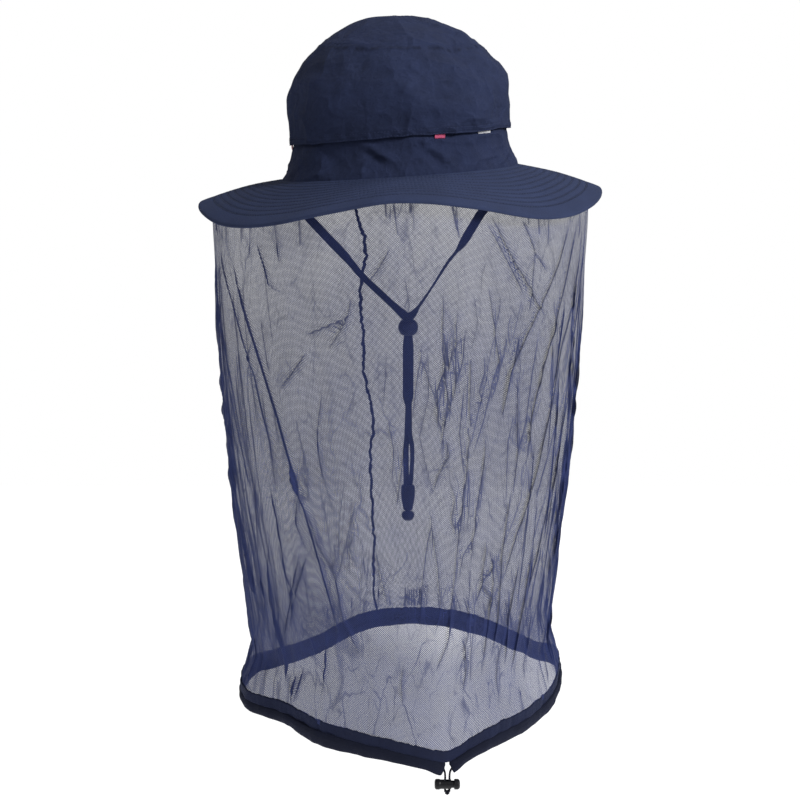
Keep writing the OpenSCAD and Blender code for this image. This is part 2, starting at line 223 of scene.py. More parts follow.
def near_line(x, y, points):
    """Where points lie beside a line: the distance to it, the same signed by side, the share of the line's
    length up to the nearest place, and the line's unit normal there."""
    pts = np.array(points, float)
    seg = np.diff(pts, axis=0)
    lengths = np.hypot(seg[:, 0], seg[:, 1])
    near = np.full(np.shape(x), 1e9)
    signed, share, nx, ny = (np.zeros(np.shape(x)) for _ in range(4))
    before = 0
    for p, d, n in zip(pts[:-1], seg, lengths):
        t = np.clip(((x - p[0]) * d[0] + (y - p[1]) * d[1]) / n ** 2, 0, 1)
        dist = np.hypot(x - p[0] - t * d[0], y - p[1] - t * d[1])
        closer = dist < near
        near = np.where(closer, dist, near)
        vx, vy = -d[1] / n, d[0] / n
        signed = np.where(closer, (x - p[0]) * vx + (y - p[1]) * vy, signed)
        nx, ny = np.where(closer, vx, nx), np.where(closer, vy, ny)
        share = np.where(closer, (before + t * n) / lengths.sum(), share)
        before += n
    return near, signed, share, nx, ny


def faded(share, fade):
    """1 along a line, and smoothly down to 0 over the first and last share of its length."""
    ends = np.clip(np.minimum(share, 1 - share) / fade, 0, 1)
    return ends * ends * (3 - 2 * ends)


def crease(x, z, points, width, fade):
    """A soft ridge along a line of (x, z) points, 1 on the line, fading towards both ends."""
    near, _, share, _, _ = near_line(x, z, points)
    return np.exp(-((near / width) ** 2)) * faded(share, fade)


def run_length(line):
    """How far each point of a line is from its start, along the line."""
    return np.concatenate([[0], np.cumsum(np.linalg.norm(np.diff(line, axis=0), axis=1))])


def by_height(z, table):
    """The columns of a table of (height, value, ...) rows, highest first, at heights z."""
    zs, *columns = np.array(table, float)[::-1].T
    return [np.interp(z, zs, column) for column in columns]


def signed_power(v, power):
    return np.sign(v) * np.abs(v) ** power


def unit(v):
    return v / np.maximum(np.linalg.norm(v, axis=-1, keepdims=True), 1e-9)


def normals(p, ring):
    """Unit normals of a grid of points; ring says that its first axis closes."""
    if ring:
        du = np.roll(p, -1, 0) - np.roll(p, 1, 0)
    else:
        du = np.gradient(p, axis=0)
    return unit(np.cross(du, np.gradient(p, axis=1)))


def build(name, verts, faces, uv=None):
    """A smooth mesh from points in mm, with its flat cloth coordinates, in units of 10 mm, as a UV map."""
    me = bpy.data.meshes.new(name)
    me.from_pydata((np.asarray(verts) * MM).tolist(), [], np.asarray(faces).tolist())
    me.polygons.foreach_set("use_smooth", np.ones(len(me.polygons), bool))
    if uv is not None:
        layer = me.uv_layers.new(name="cloth")
        layer.data.foreach_set("uv", (np.asarray(uv) * 0.1).astype(np.float32).ravel())
    me.update()
    return link(bpy.data.objects.new(name, me))


def grid_faces(n, m, ring, tube):
    i = np.arange(n if ring else n - 1)[:, None]
    j = np.arange(m if tube else m - 1)[None, :]
    i2, j2 = (i + 1) % n, (j + 1) % m
    return np.stack([i * m + j, i2 * m + j, i2 * m + j2, i * m + j2], -1).reshape(-1, 4)


def corner_uv(u, v):
    """The face corners' coordinates, from those of a grid's points."""
    n, m = u.shape[0] - 1, u.shape[1] - 1
    corners = ((0, 0), (1, 0), (1, 1), (0, 1))
    at = [np.stack([u[i:i + n, j:j + m], v[i:i + n, j:j + m]], -1) for i, j in corners]
    return np.stack(at, 2).reshape(-1, 2)


def grid_uv(p, ring, tube):
    """Lengths along both axes, measured at the grid's middle lines."""
    n, m = p.shape[:2]
    u, v = (run_length(np.vstack([line, line[:1]]) if closed else line)
            for line, closed in ((p[:, m // 2], ring), (p[n // 2], tube)))
    return corner_uv(*np.meshgrid(u, v, indexing="ij"))


def grid(name, p, ring=True, tube=False, uv=None):
    """A mesh from a grid of points; ring and tube say that its first and second axis close."""
    n, m = p.shape[:2]
    uv = grid_uv(p, ring, tube) if uv is None else uv
    return build(name, p.reshape(-1, 3), grid_faces(n, m, ring, tube), uv)


def point_values(o, name, values):
    layer = o.data.attributes.new(name, "FLOAT", "POINT")
    layer.data.foreach_set("value", np.asarray(values, np.float32).ravel())


def place(obj, body, slot, mat, *stands_for):
    """Gives a finished piece its body, its material and the CAD nodes that it stands for."""
    obj.data.materials.clear()
    obj.data.materials.append(mat)
    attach(obj, body)
    if stands_for:
        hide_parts(*stands_for)
    return obj


def smooth_line(points, step):
    """A smooth curve through points, at about even steps."""
    p = np.array(points, float)
    e = np.vstack([2 * p[0] - p[1], p, 2 * p[-1] - p[-2]])
    out = []
    for k in range(1, len(e) - 2):
        n = max(2, int(np.linalg.norm(e[k + 1] - e[k]) / step))
        for f in np.arange(n) / n:
            a, b, c, d = e[k - 1:k + 3]
            out.append(b + f * (c - a + f * (2 * a - 5 * b + 4 * c - d + f * (3 * (b - c) + d - a))) / 2)
    return np.array(out + [p[-1]])


# ---- materials ----


class Nodes:
    """A node tree under construction; cloth coordinates come at 1 unit to 10 mm."""

    def __init__(self, owner, shader="Principled BSDF"):
        owner.use_nodes = True
        self.owner, self.tree = owner, owner.node_tree
        self.shader = self.tree.nodes[shader]

    def put(self, socket, value):
        if isinstance(value, bpy.types.NodeSocket):
            self.tree.links.new(value, socket)
        else:
            socket.default_value = value

    def add(self, kind, *values, out=0, setup=None, **named):
        """A new node with its inputs, by order or by name. Gives back one of its outputs."""
        node = self.tree.nodes.new("ShaderNode" + kind)
        for key, value in (setup or {}).items():
            setattr(node, key, value)
        for key, value in (*enumerate(values), *named.items()):
            self.put(node.inputs[key], value)
        return node.outputs[out]

    def math(self, op, a, b=0.0):
        return self.add("Math", a, b, setup={"operation": op})

    def plus(self, a, b):
        return self.math("ADD", a, b)

    def minus(self, a, b):
        return self.math("SUBTRACT", a, b)

    def times(self, a, b):
        return self.math("MULTIPLY", a, b)

    def uv(self):
        return self.add("UVMap", setup={"uv_map": "cloth"})

    def split(self, vector):
        x = self.add("SeparateXYZ", vector)
        return x, x.node.outputs[1]

    def space(self):
        """The object's own coordinates, in metres."""
        return self.add("TexCoord", out=3)

    def noise(self, vector, scale, detail=3.0, rough=0.55):
        return self.add("TexNoise", Vector=vector, Scale=scale, Detail=detail, Roughness=rough)

    def ramp(self, value, low, high, a=0.0, b=1.0):
        return self.add("MapRange", value, low, high, a, b)

    def blend(self, share, a, b):
        mixed = self.add("Mix", share, out=2, setup={"data_type": "RGBA"})
        for k, colour in ((6, a), (7, b)):
            colour = colour if isinstance(colour, bpy.types.NodeSocket) else (*colour, 1)
            self.put(mixed.node.inputs[k], colour)
        return mixed

    def surface(self, colour, rough, height=None, depth=0.0002, strength=0.5, **more):
        self.put(self.shader.inputs["Base Color"], colour)
        self.put(self.shader.inputs["Roughness"], rough)
        if height is not None:
            bumped = self.add("Bump", Strength=strength, Distance=depth, Height=height)
            self.put(self.shader.inputs["Normal"], bumped)
        for key, value in more.items():
            self.put(self.shader.inputs[key.replace("_", " ")], value)
        return self.owner


def material(name):
    return Nodes(bpy.data.materials.new(name))


def shade(rgb, factor):
    return tuple(c * factor for c in rgb)


def cloth(name, rgb, pitch=0.5, spread=0.2, sheen=0.03, depth=0.00025, worn=0.0, crisp=0.0, groove=False):
    """Plain woven cloth: a weave, soft blotches, fine fibre noise and, if asked, paler wear, crisp little
    creases, and painted shade in stitched grooves and seams, darker where the "groove" attribute is 1."""
    n = material(name)
    uv = n.uv()
    x, y = n.split(uv)
    k = TAU / (pitch * 0.1)
    weave = n.times(n.math("SINE", n.times(x, k)), n.math("SINE", n.times(y, k)))
    blotch = n.noise(uv, 0.32, 3)
    fibre = n.noise(uv, 7.0, 4, 0.7)
    tone = n.plus(n.times(blotch, 0.6), n.times(fibre, 0.3))
    tone = n.plus(tone, n.times(weave, 0.07))
    colour = n.blend(n.ramp(tone, 0.25, 0.65), shade(rgb, 1 - spread), shade(rgb, 1 + spread))
    if worn:
        rub = n.ramp(n.noise(uv, 0.9, 5, 0.65), 0.62, 0.8, 0.0, worn)
        colour = n.blend(rub, colour, shade(rgb, 2.0))
    height = n.plus(n.times(weave, 0.5), n.times(fibre, 0.9))
    if crisp:
        for scale, share in ((0.55, 1.0), (1.3, 0.5)):
            bent = n.math("ABSOLUTE", n.minus(n.noise(uv, scale, 2, 0.5), 0.5))
            ridge = n.math("POWER", n.minus(1.0, n.times(bent, 2.0)), 6.0)
            height = n.plus(height, n.times(ridge, crisp * share))
            colour = n.blend(n.times(ridge, 0.16 * share), colour, shade(rgb, 1.9))
    if groove:
        # painted shade: the cloth goes darker in stitched grooves and along seams, where the "groove"
        # attribute is 1
        painted_groove_shade = n.add("Attribute", out=2, setup={"attribute_name": "groove"})
        colour = n.blend(n.times(painted_groove_shade, 0.85), colour, shade(rgb, 0.35))
    return n.surface(colour, n.ramp(blotch, 0.3, 0.7, 0.72, 0.88), height, depth, 0.55, Sheen_Weight=sheen,
                     Sheen_Roughness=0.5, Sheen_Tint=(0.4, 0.5, 1, 1), Specular_IOR_Level=0.12)


def webbing(name, rgb, pitch=0.9):
    """Narrow woven tape: lengthwise ribs crossed by a finer weft."""
    n = material(name)
    uv = n.uv()
    x, y = n.split(uv)
    rib = n.math("SINE", n.times(y, TAU / (pitch * 0.1)))
    weft = n.math("SINE", n.times(x, TAU / 0.07))
    cross = n.times(rib, weft)
    fibre = n.noise(uv, 9.0, 4, 0.7)
    blotch = n.noise(uv, 0.5)
    tone = n.plus(n.times(cross, 0.12), n.plus(n.times(fibre, 0.5), n.times(blotch, 0.5)))
    colour = n.blend(n.ramp(tone, 0.3, 0.7), shade(rgb, 0.78), shade(rgb, 1.25))
    height = n.plus(n.times(cross, 0.6), n.plus(n.times(rib, 0.3), fibre))
    rough = n.ramp(fibre, 0.3, 0.7, 0.66, 0.84)
    return n.surface(colour, rough, height, 0.0003, 0.6, Specular_IOR_Level=0.15)


def plastic(name, rgb, rough=0.45, grain=900):
    """Moulded plastic: fine grain, faint flow marks and handling scuffs."""
    n = material(name)
    at = n.space()
    fine, soft = n.noise(at, grain, 4, 0.6), n.noise(at, grain / 9, 3)
    scuff = n.ramp(n.noise(at, grain / 3, 6, 0.75), 0.6, 0.75)
    colour = n.blend(n.ramp(soft, 0.3, 0.7), shade(rgb, 0.86), shade(rgb, 1.14))
    colour = n.blend(n.times(scuff, 0.3), colour, shade(rgb, 2.2))
    roughness = n.plus(n.ramp(fine, 0.3, 0.7, rough - 0.07, rough + 0.07), n.times(scuff, 0.15))
    return n.surface(colour, roughness, n.plus(fine, n.times(soft, 0.6)), 0.00006, 0.4,
                     Specular_IOR_Level=0.3)


def thread(name, rgb, rough=0.55):
    """Twisted sewing thread."""
    n = material(name)
    at = n.space()
    fine = n.noise(at, 2600, 3, 0.6)
    colour = n.blend(n.ramp(n.noise(at, 160, 3), 0.3, 0.7), shade(rgb, 0.8), shade(rgb, 1.2))
    roughness = n.ramp(fine, 0.3, 0.7, rough - 0.1, rough + 0.1)
    return n.surface(colour, roughness, fine, 0.00008, 0.5, Specular_IOR_Level=0.2)


def steel(name):
    n = material(name)
    fine = n.noise(n.space(), 3000, 4)
    colour = n.blend(n.ramp(fine, 0.3, 0.7), (0.5, 0.5, 0.52), (0.68, 0.68, 0.7))
    return n.surface(colour, n.ramp(fine, 0.3, 0.7, 0.25, 0.4), fine, 0.00003, 0.4, Metallic=1.0)


def crumple(n, uv, wide, tall, seed):
    """Fine crease lines in patches: the edges of long upright cells, bent by noise."""
    scaled = n.add("Mapping", Vector=uv, Location=(seed, seed, 0), Scale=(10 / wide, 10 / tall, 1))
    bend = n.add("TexNoise", out=1, Vector=scaled, Scale=1.3, Detail=2.0)
    centred = n.add("VectorMath", bend, (0.5, 0.5, 0.5), setup={"operation": "SUBTRACT"})
    shift = n.add("VectorMath", centred, (0.9, 0.9, 0), scaled, setup={"operation": "MULTIPLY_ADD"})
    edge = n.add("TexVoronoi", setup={"feature": "DISTANCE_TO_EDGE"}, Vector=shift, Scale=1.0)
    line = n.ramp(edge, 0.0, 0.8 / wide, 1.0, 0.0)
    return n.times(line, n.ramp(n.noise(scaled, 0.9, 2), 0.46, 0.62))


def netting(name, rgb, pitch=1.2, folded=False):
    """Knitted net: two sets of diagonal threads with holes between. The "cover" attribute says what share is
    thread. On folded net "fold" is the distance from the nearest laid fold, which shows as a dark line."""
    n = material(name)
    uv = n.uv()
    x, y = n.split(uv)
    drift = n.times(n.minus(n.noise(uv, 0.8, 2), 0.5), 0.05)
    x = n.plus(x, drift)
    k = 1 / (pitch * 0.1 * math.sqrt(2))
    share = n.add("Attribute", out=2, setup={"attribute_name": "cover"})
    if folded:
        fold = n.add("Attribute", out=2, setup={"attribute_name": "fold"})
        clear = n.add("Attribute", out=2, setup={"attribute_name": "fold_clear"})
        edge = n.ramp(n.math("ABSOLUTE", fold), 0.35, 0.95, 0.42, 0.0)
        lap = n.times(n.ramp(fold, 0.5, 6.5, 0.13, 0.0), n.math("GREATER_THAN", fold, 0.0))
        share = n.plus(share, n.times(clear, n.plus(edge, lap)))
    for wide, tall, strength, seed in ((26, 64, 0.17, 3), (12, 34, 0.11, 8)):
        share = n.plus(share, n.times(crumple(n, uv, wide, tall, seed), strength))
    share = n.math("MINIMUM", share, 0.93)
    width = n.times(n.minus(1.0, n.math("SQRT", n.minus(1.0, share))), 0.5)
    near = n.math("MINIMUM", *(
        n.math("ABSOLUTE", n.minus(n.math("FRACT", n.times(across, k)), 0.5))
        for across in (n.plus(x, y), n.minus(x, y))))
    on_thread = n.math("LESS_THAN", near, width)
    alpha = n.plus(n.times(share, 0.53), n.times(on_thread, 0.45))
    round_height = n.minus(1.0, n.math("DIVIDE", near, n.math("MAXIMUM", width, 0.01)))
    tone = n.noise(uv, 0.5, 4)
    colour = n.blend(n.ramp(tone, 0.3, 0.7), shade(rgb, 0.85), shade(rgb, 1.15))
    return n.surface(colour, n.ramp(tone, 0.3, 0.7, 0.6, 0.8), round_height, 0.0002, 0.4, Alpha=alpha,
                     Specular_IOR_Level=0.15)


NAVY = (0.0225, 0.0310, 0.0745)
BRIM_NAVY = (0.034, 0.047, 0.106)
THREAD_BLUE = (0.040, 0.054, 0.112)

# groove=True gives these cloths painted shade in their stitched grooves and seams
crown_cloth = cloth("crown_cloth", NAVY, spread=0.34, worn=0.16, crisp=4.0, depth=0.00045, groove=True)
brim_cloth = cloth("brim_cloth", BRIM_NAVY, spread=0.22, groove=True)
under_cloth = cloth("brim_under_cloth", BRIM_NAVY, spread=0.22)
brim_thread = thread("brim_thread", THREAD_BLUE)
flap_thread = thread("flap_thread", shade(NAVY, 1.7))
sweat_cloth = cloth("sweatband_cloth", (0.012, 0.015, 0.035), pitch=1.1, sheen=0.1, depth=0.0004)
stiffener = cloth("interlining", (0.5, 0.5, 0.5), pitch=0.8, sheen=0)
tape_cloth = webbing("tape", shade(NAVY, 0.8), 0.8)
vent_net = netting("vent_mesh", (0.008, 0.010, 0.02), pitch=1.2)
veil_netting = netting("net", (0.028, 0.040, 0.132), folded=True)
hem_cloth = cloth("hem_cloth", (0.0125, 0.0165, 0.043), spread=0.25, sheen=0.08)
# the hem's fabric made darker: a painted shade for the casing that hangs below the band
casing_shaded_cloth = cloth("casing_shaded_cloth", (0.0085, 0.0105, 0.024), spread=0.25, sheen=0.06)
strap_webbing = webbing("strap_webbing", (0.018, 0.024, 0.056))
slider_plastic = plastic("slider_plastic", (0.017, 0.021, 0.045), 0.5)
end_plastic = plastic("end_plastic", (0.019, 0.025, 0.055), 0.45)
lock_plastic = plastic("lock_plastic", (0.006, 0.006, 0.0085), 0.42, 1400)
braid = webbing("drawcord", (0.010, 0.011, 0.02), 0.5)
spring_steel = steel("spring_steel")
ribbon_pink = webbing("label_ribbon", (0.72, 0.13, 0.25), 0.6)
ribbon_pale = webbing("label_strip", (0.92, 0.92, 0.95), 0.6)

# ---- hat ----

RING_N = 720
RING = np.arange(RING_N) * TAU / RING_N


def rows(*parts):
    """Row values from (first, last, count) runs, without repeats where runs meet."""
    out = []
    for first, last, count in parts:
        run = np.linspace(first, last, count)
        out.extend(run[1:] if out and abs(out[-1] - first) < 1e-9 else run)
    return np.array(out)


# Soft ridges of the crown's front, as (x, z) lines with a width and a height
FRONT_FOLDS = [
    ([(-4, 84), (10, 62), (28, 40)], 11, 2.2), ([(-40, 96), (-24, 88)], 9, -1.4),
    ([(28, 104), (48, 96), (60, 84)], 6, -2.6), ([(40, 112), (56, 104)], 6, 1.8),
    ([(60, 92), (66, 74)], 5, -2.2), ([(74, 96), (84, 78), (86, 60)], 5, 2.4),
    ([(-62, 88), (-80, 62)], 12, 1.4), ([(-86, 74), (-91, 40)], 4, 1.2), ([(-50, 60), (-20, 52)], 14, -1.2),
    ([(44, 70), (62, 52), (70, 44)], 10, 1.6), ([(30, 58), (18, 44)], 7, -1.5),
    ([(66, 58), (88, 48)], 6, -1.4), ([(6, 92), (12, 84)], 3, 1.0), ([(2, 76), (8, 68)], 4, 1.0),
]


def with_folds(h, p, folds, fade, gain=1):
    """The relief h of points p with the front's folds added; the back has none."""
    front = p[..., 1] < 0
    for line, width, height in folds:
        h = h + np.where(front, gain * height * crease(p[..., 0], p[..., 2], line, width, fade), 0)
    return h


def crown_relief(p):
    """How far the crown's cloth stands out of its smooth shape: lumps, dents and the front's soft folds."""
    h = 1.7 * fbm(p, (46, 46, 36), 3) + 0.7 * fbm(p, (15, 15, 24), 8, 2)
    for size, seed, high in ((34, 14, 1.5), (17, 16, 0.7)):
        h = h + high * (1 - np.abs(noise(p, (size, size, size * 0.7), seed))) ** 5
    return with_folds(h, p, FRONT_FOLDS, 0.45, 1.4)


def seam_pucker(p, away):
    """Short puckers beside the tip's seam, away mm from it."""
    a = np.arctan2(p[..., 1], p[..., 0])
    around = round_pt(a, 60, 0)
    patchy = 0.4 + 0.6 * (noise(around, 30, 6) > -0.1)
    pucker = 0.85 * noise(around, (3.2, 3.2, 9), 5) * np.exp(-(away / 6) ** 2)
    return pucker * patchy - 0.12 * np.exp(-(away / 1.2) ** 2)


def crown_tip():
    rho = rows((0.004, 0.8, 44), (0.8, 1.0, 26))
    a, r = np.meshgrid(RING, rho, indexing="ij")
    half_w, half_d = CROWN_HALF_W - TIP_INSET, CROWN_HALF_D - TIP_INSET
    z = mix(CROWN_H, TIP_SEAM_H + 0.7, r ** 2.3) - 0.9 * np.exp(-((1 - r) * half_w / 0.7) ** 2)
    p = np.stack([half_w * r * np.cos(a), half_d * r * np.sin(a), z], -1)
    h = crown_relief(p) + seam_pucker(p, (1 - r) * 67)
    n = -normals(p, True)
    n *= np.sign(n[..., 2:3])
    h = mix(h[:, :1].mean(), h, np.clip(r / 0.15, 0, 1))
    top = grid("crown_tip_cloth", p + n * h[..., None])
    return place(top, "hat", "crown_cloth", crown_cloth, "crown_tip")


def flap_wave(a):
    ring = round_pt(a, 90, 0)
    return 0.9 * noise(ring, 24, 9) + 0.35 * noise(ring, 7, 12)


FLAP_ROWS = (1.4, 5.3)


def crown_side():
    """The side panel: its hem is folded up inside, and its top meets the tip."""
    up_rows = np.concatenate([[0.15, 0.6], rows((1.2, 8, 10), (8, 60, 44), (60, 80, 22))])
    a, share = np.meshgrid(RING, up_rows / 80, indexing="ij")
    z = mix(flap_z(a) + flap_wave(a), TIP_SEAM_H + 1.2, share)
    p = crown_pt(a, side_inset(z), z)
    lift = z - flap_z(a)
    h = crown_relief(p) + seam_pucker(p, (TIP_SEAM_H + 1.2 - z) * 1.3)
    h = np.where(lift < 44, np.maximum(h, -1.4), h)
    h += 0.35 * np.clip(1 - (lift - 5.5) / 1.2, 0, 1)
    sewn = sum(np.exp(-((lift - row) / 0.5) ** 2) for row in FLAP_ROWS)
    h += 0.5 * noise(round_pt(a, 90, z), (4, 4, 5), 21) * np.exp(-((lift - 3.4) / 3.2) ** 2) - 0.3 * sewn
    flat = round_pt(a, 1, 0)
    n = normals(p, True)
    n *= np.sign((n * flat).sum(-1, keepdims=True))
    outer = p + n * h[..., None]
    inner = []
    for up in (6.0, 4.0, 2.0, 0.8, 0.2):
        k = int(np.argmin(abs(lift[0] - up)))
        inner.append(outer[:, k] - flat[:, k] * (1.9 if up > 0.5 else 1.1))
    side = grid("crown_side_cloth", np.concatenate([np.stack(inner, 1), outer], 1))
    ring = round_pt(a, 90, 0)
    # painted shade: a broken dark line along the tip's seam and darker flap stitch rows, as the "groove"
    # attribute
    broken = np.clip(0.55 + 1.1 * noise(ring, 4, 23) + 0.5 * noise(ring, 22, 24), 0, 1)
    painted_groove_shade = np.maximum(0.8 * broken * np.exp(-((TIP_SEAM_H - 1.5 - z) / 1.1) ** 2), 0.4 * sewn)
    point_values(side, "groove", np.pad(painted_groove_shade, ((0, 0), (len(inner), 0))))
    place(side, "hat", "crown_cloth", crown_cloth, "crown_side")
    return outer, n, lift


def stitches(name, lines, outs, pitch, mat, slot, radius):
    """Rows of short raised stitches along closed lines of points, each with its outward directions."""
    along = np.array([-0.5, -0.36, 0, 0.36, 0.5]) * 0.74 * pitch
    high = np.array([-0.9, 0.35, 0.75, 0.35, -0.9]) * radius
    size = np.array([0.35, 0.85, 1, 0.85, 0.35]) * radius
    around = np.arange(6) * TAU / 6
    one = np.roll(grid_faces(5, 6, False, True)[:, ::-1], 1, 1)
    verts, faces, start = [], [], 0
    for line, out in zip(lines, outs):
        loop, outs_loop = np.vstack([line, line[:1]]), np.vstack([out, out[:1]])
        length = run_length(loop)
        count = int(length[-1] / pitch)
        at = (np.arange(count) + 0.5) / count * length[-1]

        def values(where, table):
            return np.stack([np.interp(where, length, table[:, k]) for k in range(3)], -1)

        c, o = values(at, loop), values(at, outs_loop)
        t, o = unit(values((at + 0.5) % length[-1], loop) - c), unit(o)
        b = np.cross(t, o)
        for far, up, r in zip(along, high, size):
            for w in around:
                verts.append(c + t * far + o * (up + r * math.cos(w)) + b * r * math.sin(w))
        faces.append((start + one[:, None] * count + np.arange(count)[:, None]).reshape(-1, 4))
        start += count * 30
    o = build(name, np.concatenate(verts), np.concatenate(faces))
    return place(o, "hat", slot, mat)


def flap_stitches(outer, n, lift):
    at = [int(np.argmin(abs(lift.mean(0) - up))) for up in FLAP_ROWS]
    lines, outs = ([table[:, k] for k in at] for table in (outer, n))
    return stitches("crown_flap_stitches", lines, outs, 2.6, flap_thread, "crown_cloth", 0.17)


# The same for the band below
BAND_FOLDS = [
    ([(-34, 34), (-16, 24), (4, 14)], 3.4, 2.6), ([(-30, 27), (-8, 16)], 4.5, -2.0),
    ([(14, 32), (30, 24), (46, 12)], 3.2, 2.0), ([(16, 26), (34, 16)], 4, -1.6),
    ([(90, 24), (76, 10)], 3.5, 2.2), ([(84, 26), (70, 14)], 4, -1.6), ([(-78, 26), (-60, 12)], 6, 1.6),
    ([(-66, 24), (-44, 8)], 6, -1.4), ([(48, 34), (60, 28)], 3, 1.6), ([(22, 36), (16, 30)], 2.5, 1.6),
]


def crown_band():
    a, t = np.meshgrid(RING, rows((0, 1, 44)), indexing="ij")
    z = mix(seam_z(a) - 0.8, flap_z(a) + 12, t)
    p = crown_pt(a, band_inset(z - seam_z(a)), z)
    loose = np.clip((z - seam_z(a)) / 5, 0, 1) * np.clip((flap_z(a) + 3 - z) / 6, 0, 1)
    h = 1.9 * fbm(p, (24, 24, 15), 31) + 0.6 * fbm(p, (8, 8, 10), 35, 2)
    h = h + 1.6 * (1 - np.abs(noise(p, (26, 26, 18), 37))) ** 5
    h = with_folds(h, p, BAND_FOLDS, 0.4)
    tuck = 0.4 * noise(p * (1, 1, 0), 3, 41) * np.exp(-((z - seam_z(a)) / 4) ** 2)
    band = grid("crown_band_cloth", p + round_pt(a, 1, 0) * (np.minimum(h, 2.8) * loose + tuck)[..., None])
    return place(band, "hat", "crown_cloth", crown_cloth, "crown_band")


def vent_mesh():
    a, t = np.meshgrid(RING[::2], rows((0, 1, 12)), indexing="ij")
    z = flap_z(a) + 6 + 26 * t
    p = crown_pt(a, side_inset(z) + CLOTH_T + 2.6 + 0.3 * noise(crown_pt(a, 0, z), 14, 51), z)
    o = grid("crown_vent_net", p)
    point_values(o, "cover", np.full(p.shape[:2], 0.45))
    return place(o, "hat", "vent_mesh", vent_net, "crown_vent_mesh")


def sweatband():
    """A soft band folded over at its lower edge."""
    a, t = np.meshgrid(RING, rows((-1, 0, 8), (0, 1, 24)), indexing="ij")
    h = np.abs(t) * np.where(t < 0, 4, 30) - 1
    inset = band_inset(h) + np.where(t < 0, 1.4, 3.0)
    p = crown_pt(a, inset, seam_z(a) + h)
    loose = 0.7 * fbm(p, (10, 10, 22), 61) * np.clip(t, 0, 1)
    o = grid("sweatband_cloth", p - round_pt(a, 1, 0) * loose[..., None])
    return place(o, "hat", "sweatband_cloth", sweat_cloth, "sweatband")


BRIM_ROWS = [0.075 + 0.083 * k for k in range(10)]


def brim_wave(a, u):
    """Small unevenness that all the brim's layers share."""
    return 1.1 * fbm(brim_pt(a, u, 0) * (1, 1, 0), 55, 71, 2) * np.clip(u * 2, 0, 1)


def quilting(a, u):
    """How the cloth puffs up between the rows of stitching."""
    lines = np.array([0] + BRIM_ROWS + [1.0])
    k = np.clip(np.searchsorted(lines, u, side="right") - 1, 0, len(lines) - 2)
    t = np.clip((u - lines[k]) / (lines[k + 1] - lines[k]), 0, 1)
    tuck = 0.13 * noise(brim_pt(a, u, 0) * (1, 1, 0), 2.2, 75)
    tuck = tuck * np.exp(-(np.minimum(t, 1 - t) / 0.28) ** 2) * (u < 0.9)
    return 0.5 * np.sqrt(np.clip(4 * t * (1 - t), 0, 1)) - 0.2 + tuck


def brim_top():
    """The stitched upper cloth, turned under at the edge."""
    u = np.unique(np.concatenate([rows((0, 0.985, 110)), BRIM_ROWS]))
    a, uu = np.meshgrid(RING, u, indexing="ij")
    p = brim_pt(a, uu, brim_wave(a, uu) + quilting(a, uu))
    turn_r, last = 1.45, u[-1]

    def edge(u, wave_u, dz):
        return brim_pt(RING, np.full(RING_N, u), brim_wave(RING, np.full(RING_N, wave_u)) + 0.1 - dz)

    over = [edge(last + turn_r * math.sin(w) / BRIM_W, last, turn_r * (1 - math.cos(w)))
            for w in np.linspace(0, math.pi, 9)[1:]]
    under = [edge(u, u, 2 * turn_r + 0.04) for u in (0.965, 0.94, 0.922)]
    p = np.concatenate([p, np.stack(over + under, 1)], 1)
    o = grid("brim_top_cloth", p)
    # painted shade in the stitched grooves between the brim's quilted puffs, as the "groove" attribute
    painted_groove_shade = np.zeros(p.shape[:2])
    for row in BRIM_ROWS:
        off = np.pad(u - row, (0, p.shape[1] - len(u)), constant_values=1)
        painted_groove_shade = np.maximum(painted_groove_shade, np.exp(-(off * BRIM_W / 0.7) ** 2)[None])
    point_values(o, "groove", painted_groove_shade)
    place(o, "hat", "brim_cloth", brim_cloth, "brim_top")
    lines = [p[:, int(np.argmin(abs(u - row)))] + np.array([0, 0, 0.08]) for row in BRIM_ROWS]
    upward = [np.tile([0.0, 0.0, 1.0], (RING_N, 1))] * len(lines)
    stitches("brim_stitches", lines, upward, 3.0, brim_thread, "brim_cloth", 0.26)
    return o


def brim_layer(name, dz, mat, slot, node, puff):
    a, u = np.meshgrid(RING[::2], rows((0.004, 0.975, 60)), indexing="ij")
    o = grid(name, brim_pt(a, u, brim_wave(a, u) + dz - puff * quilting(a, u)))
    return place(o, "hat", slot, mat, node)


def veil_tape():
    half = 5 / BRIM_W
    u = rows((NET_U - half, NET_U + half, 12))
    a, uu = np.meshgrid(RING, u, indexing="ij")
    puff = 0.12 * noise(brim_pt(a, uu, 0), (3, 3, 3), 81)
    top = brim_pt(a, uu, brim_wave(a, uu) + TAPE_DZ + puff)
    low = brim_pt(a, uu, brim_wave(a, uu) + TAPE_DZ - TAPE_T + puff)[:, ::-1]
    o = grid("veil_tape_cloth", np.concatenate([top, low], 1), tube=True)
    return place(o, "hat", "tape", tape_cloth, "veil_tape")


def ribbon(name, deg, w, h, t, inset, mat, slot, node):
    """A folded ribbon end that peeps out under the flap."""
    a0 = math.radians(deg)
    base = crown_pt(np.array(a0), inset, flap_z(np.array(a0)) - h + 0.8)
    out, side = np.array([math.cos(a0), math.sin(a0), 0]), np.array([-math.sin(a0), math.cos(a0), 0])
    x = np.linspace(-w / 2, w / 2, 26)
    p = []
    for f in np.linspace(-1, 1, 15):
        up, deep = h * abs(f) ** 0.8, t / 2 * np.sign(f) * min(1, abs(f) * 6)
        wavy = 0.18 * np.sin(x * 1.3 + 1) * abs(f)
        p.append(base + side * x[:, None] + out * (deep + wavy)[:, None] + np.array([0, 0, 1.0]) * up)
    o = grid(name, np.stack(p, 1), ring=False)
    return place(o, "hat", slot, mat, node)


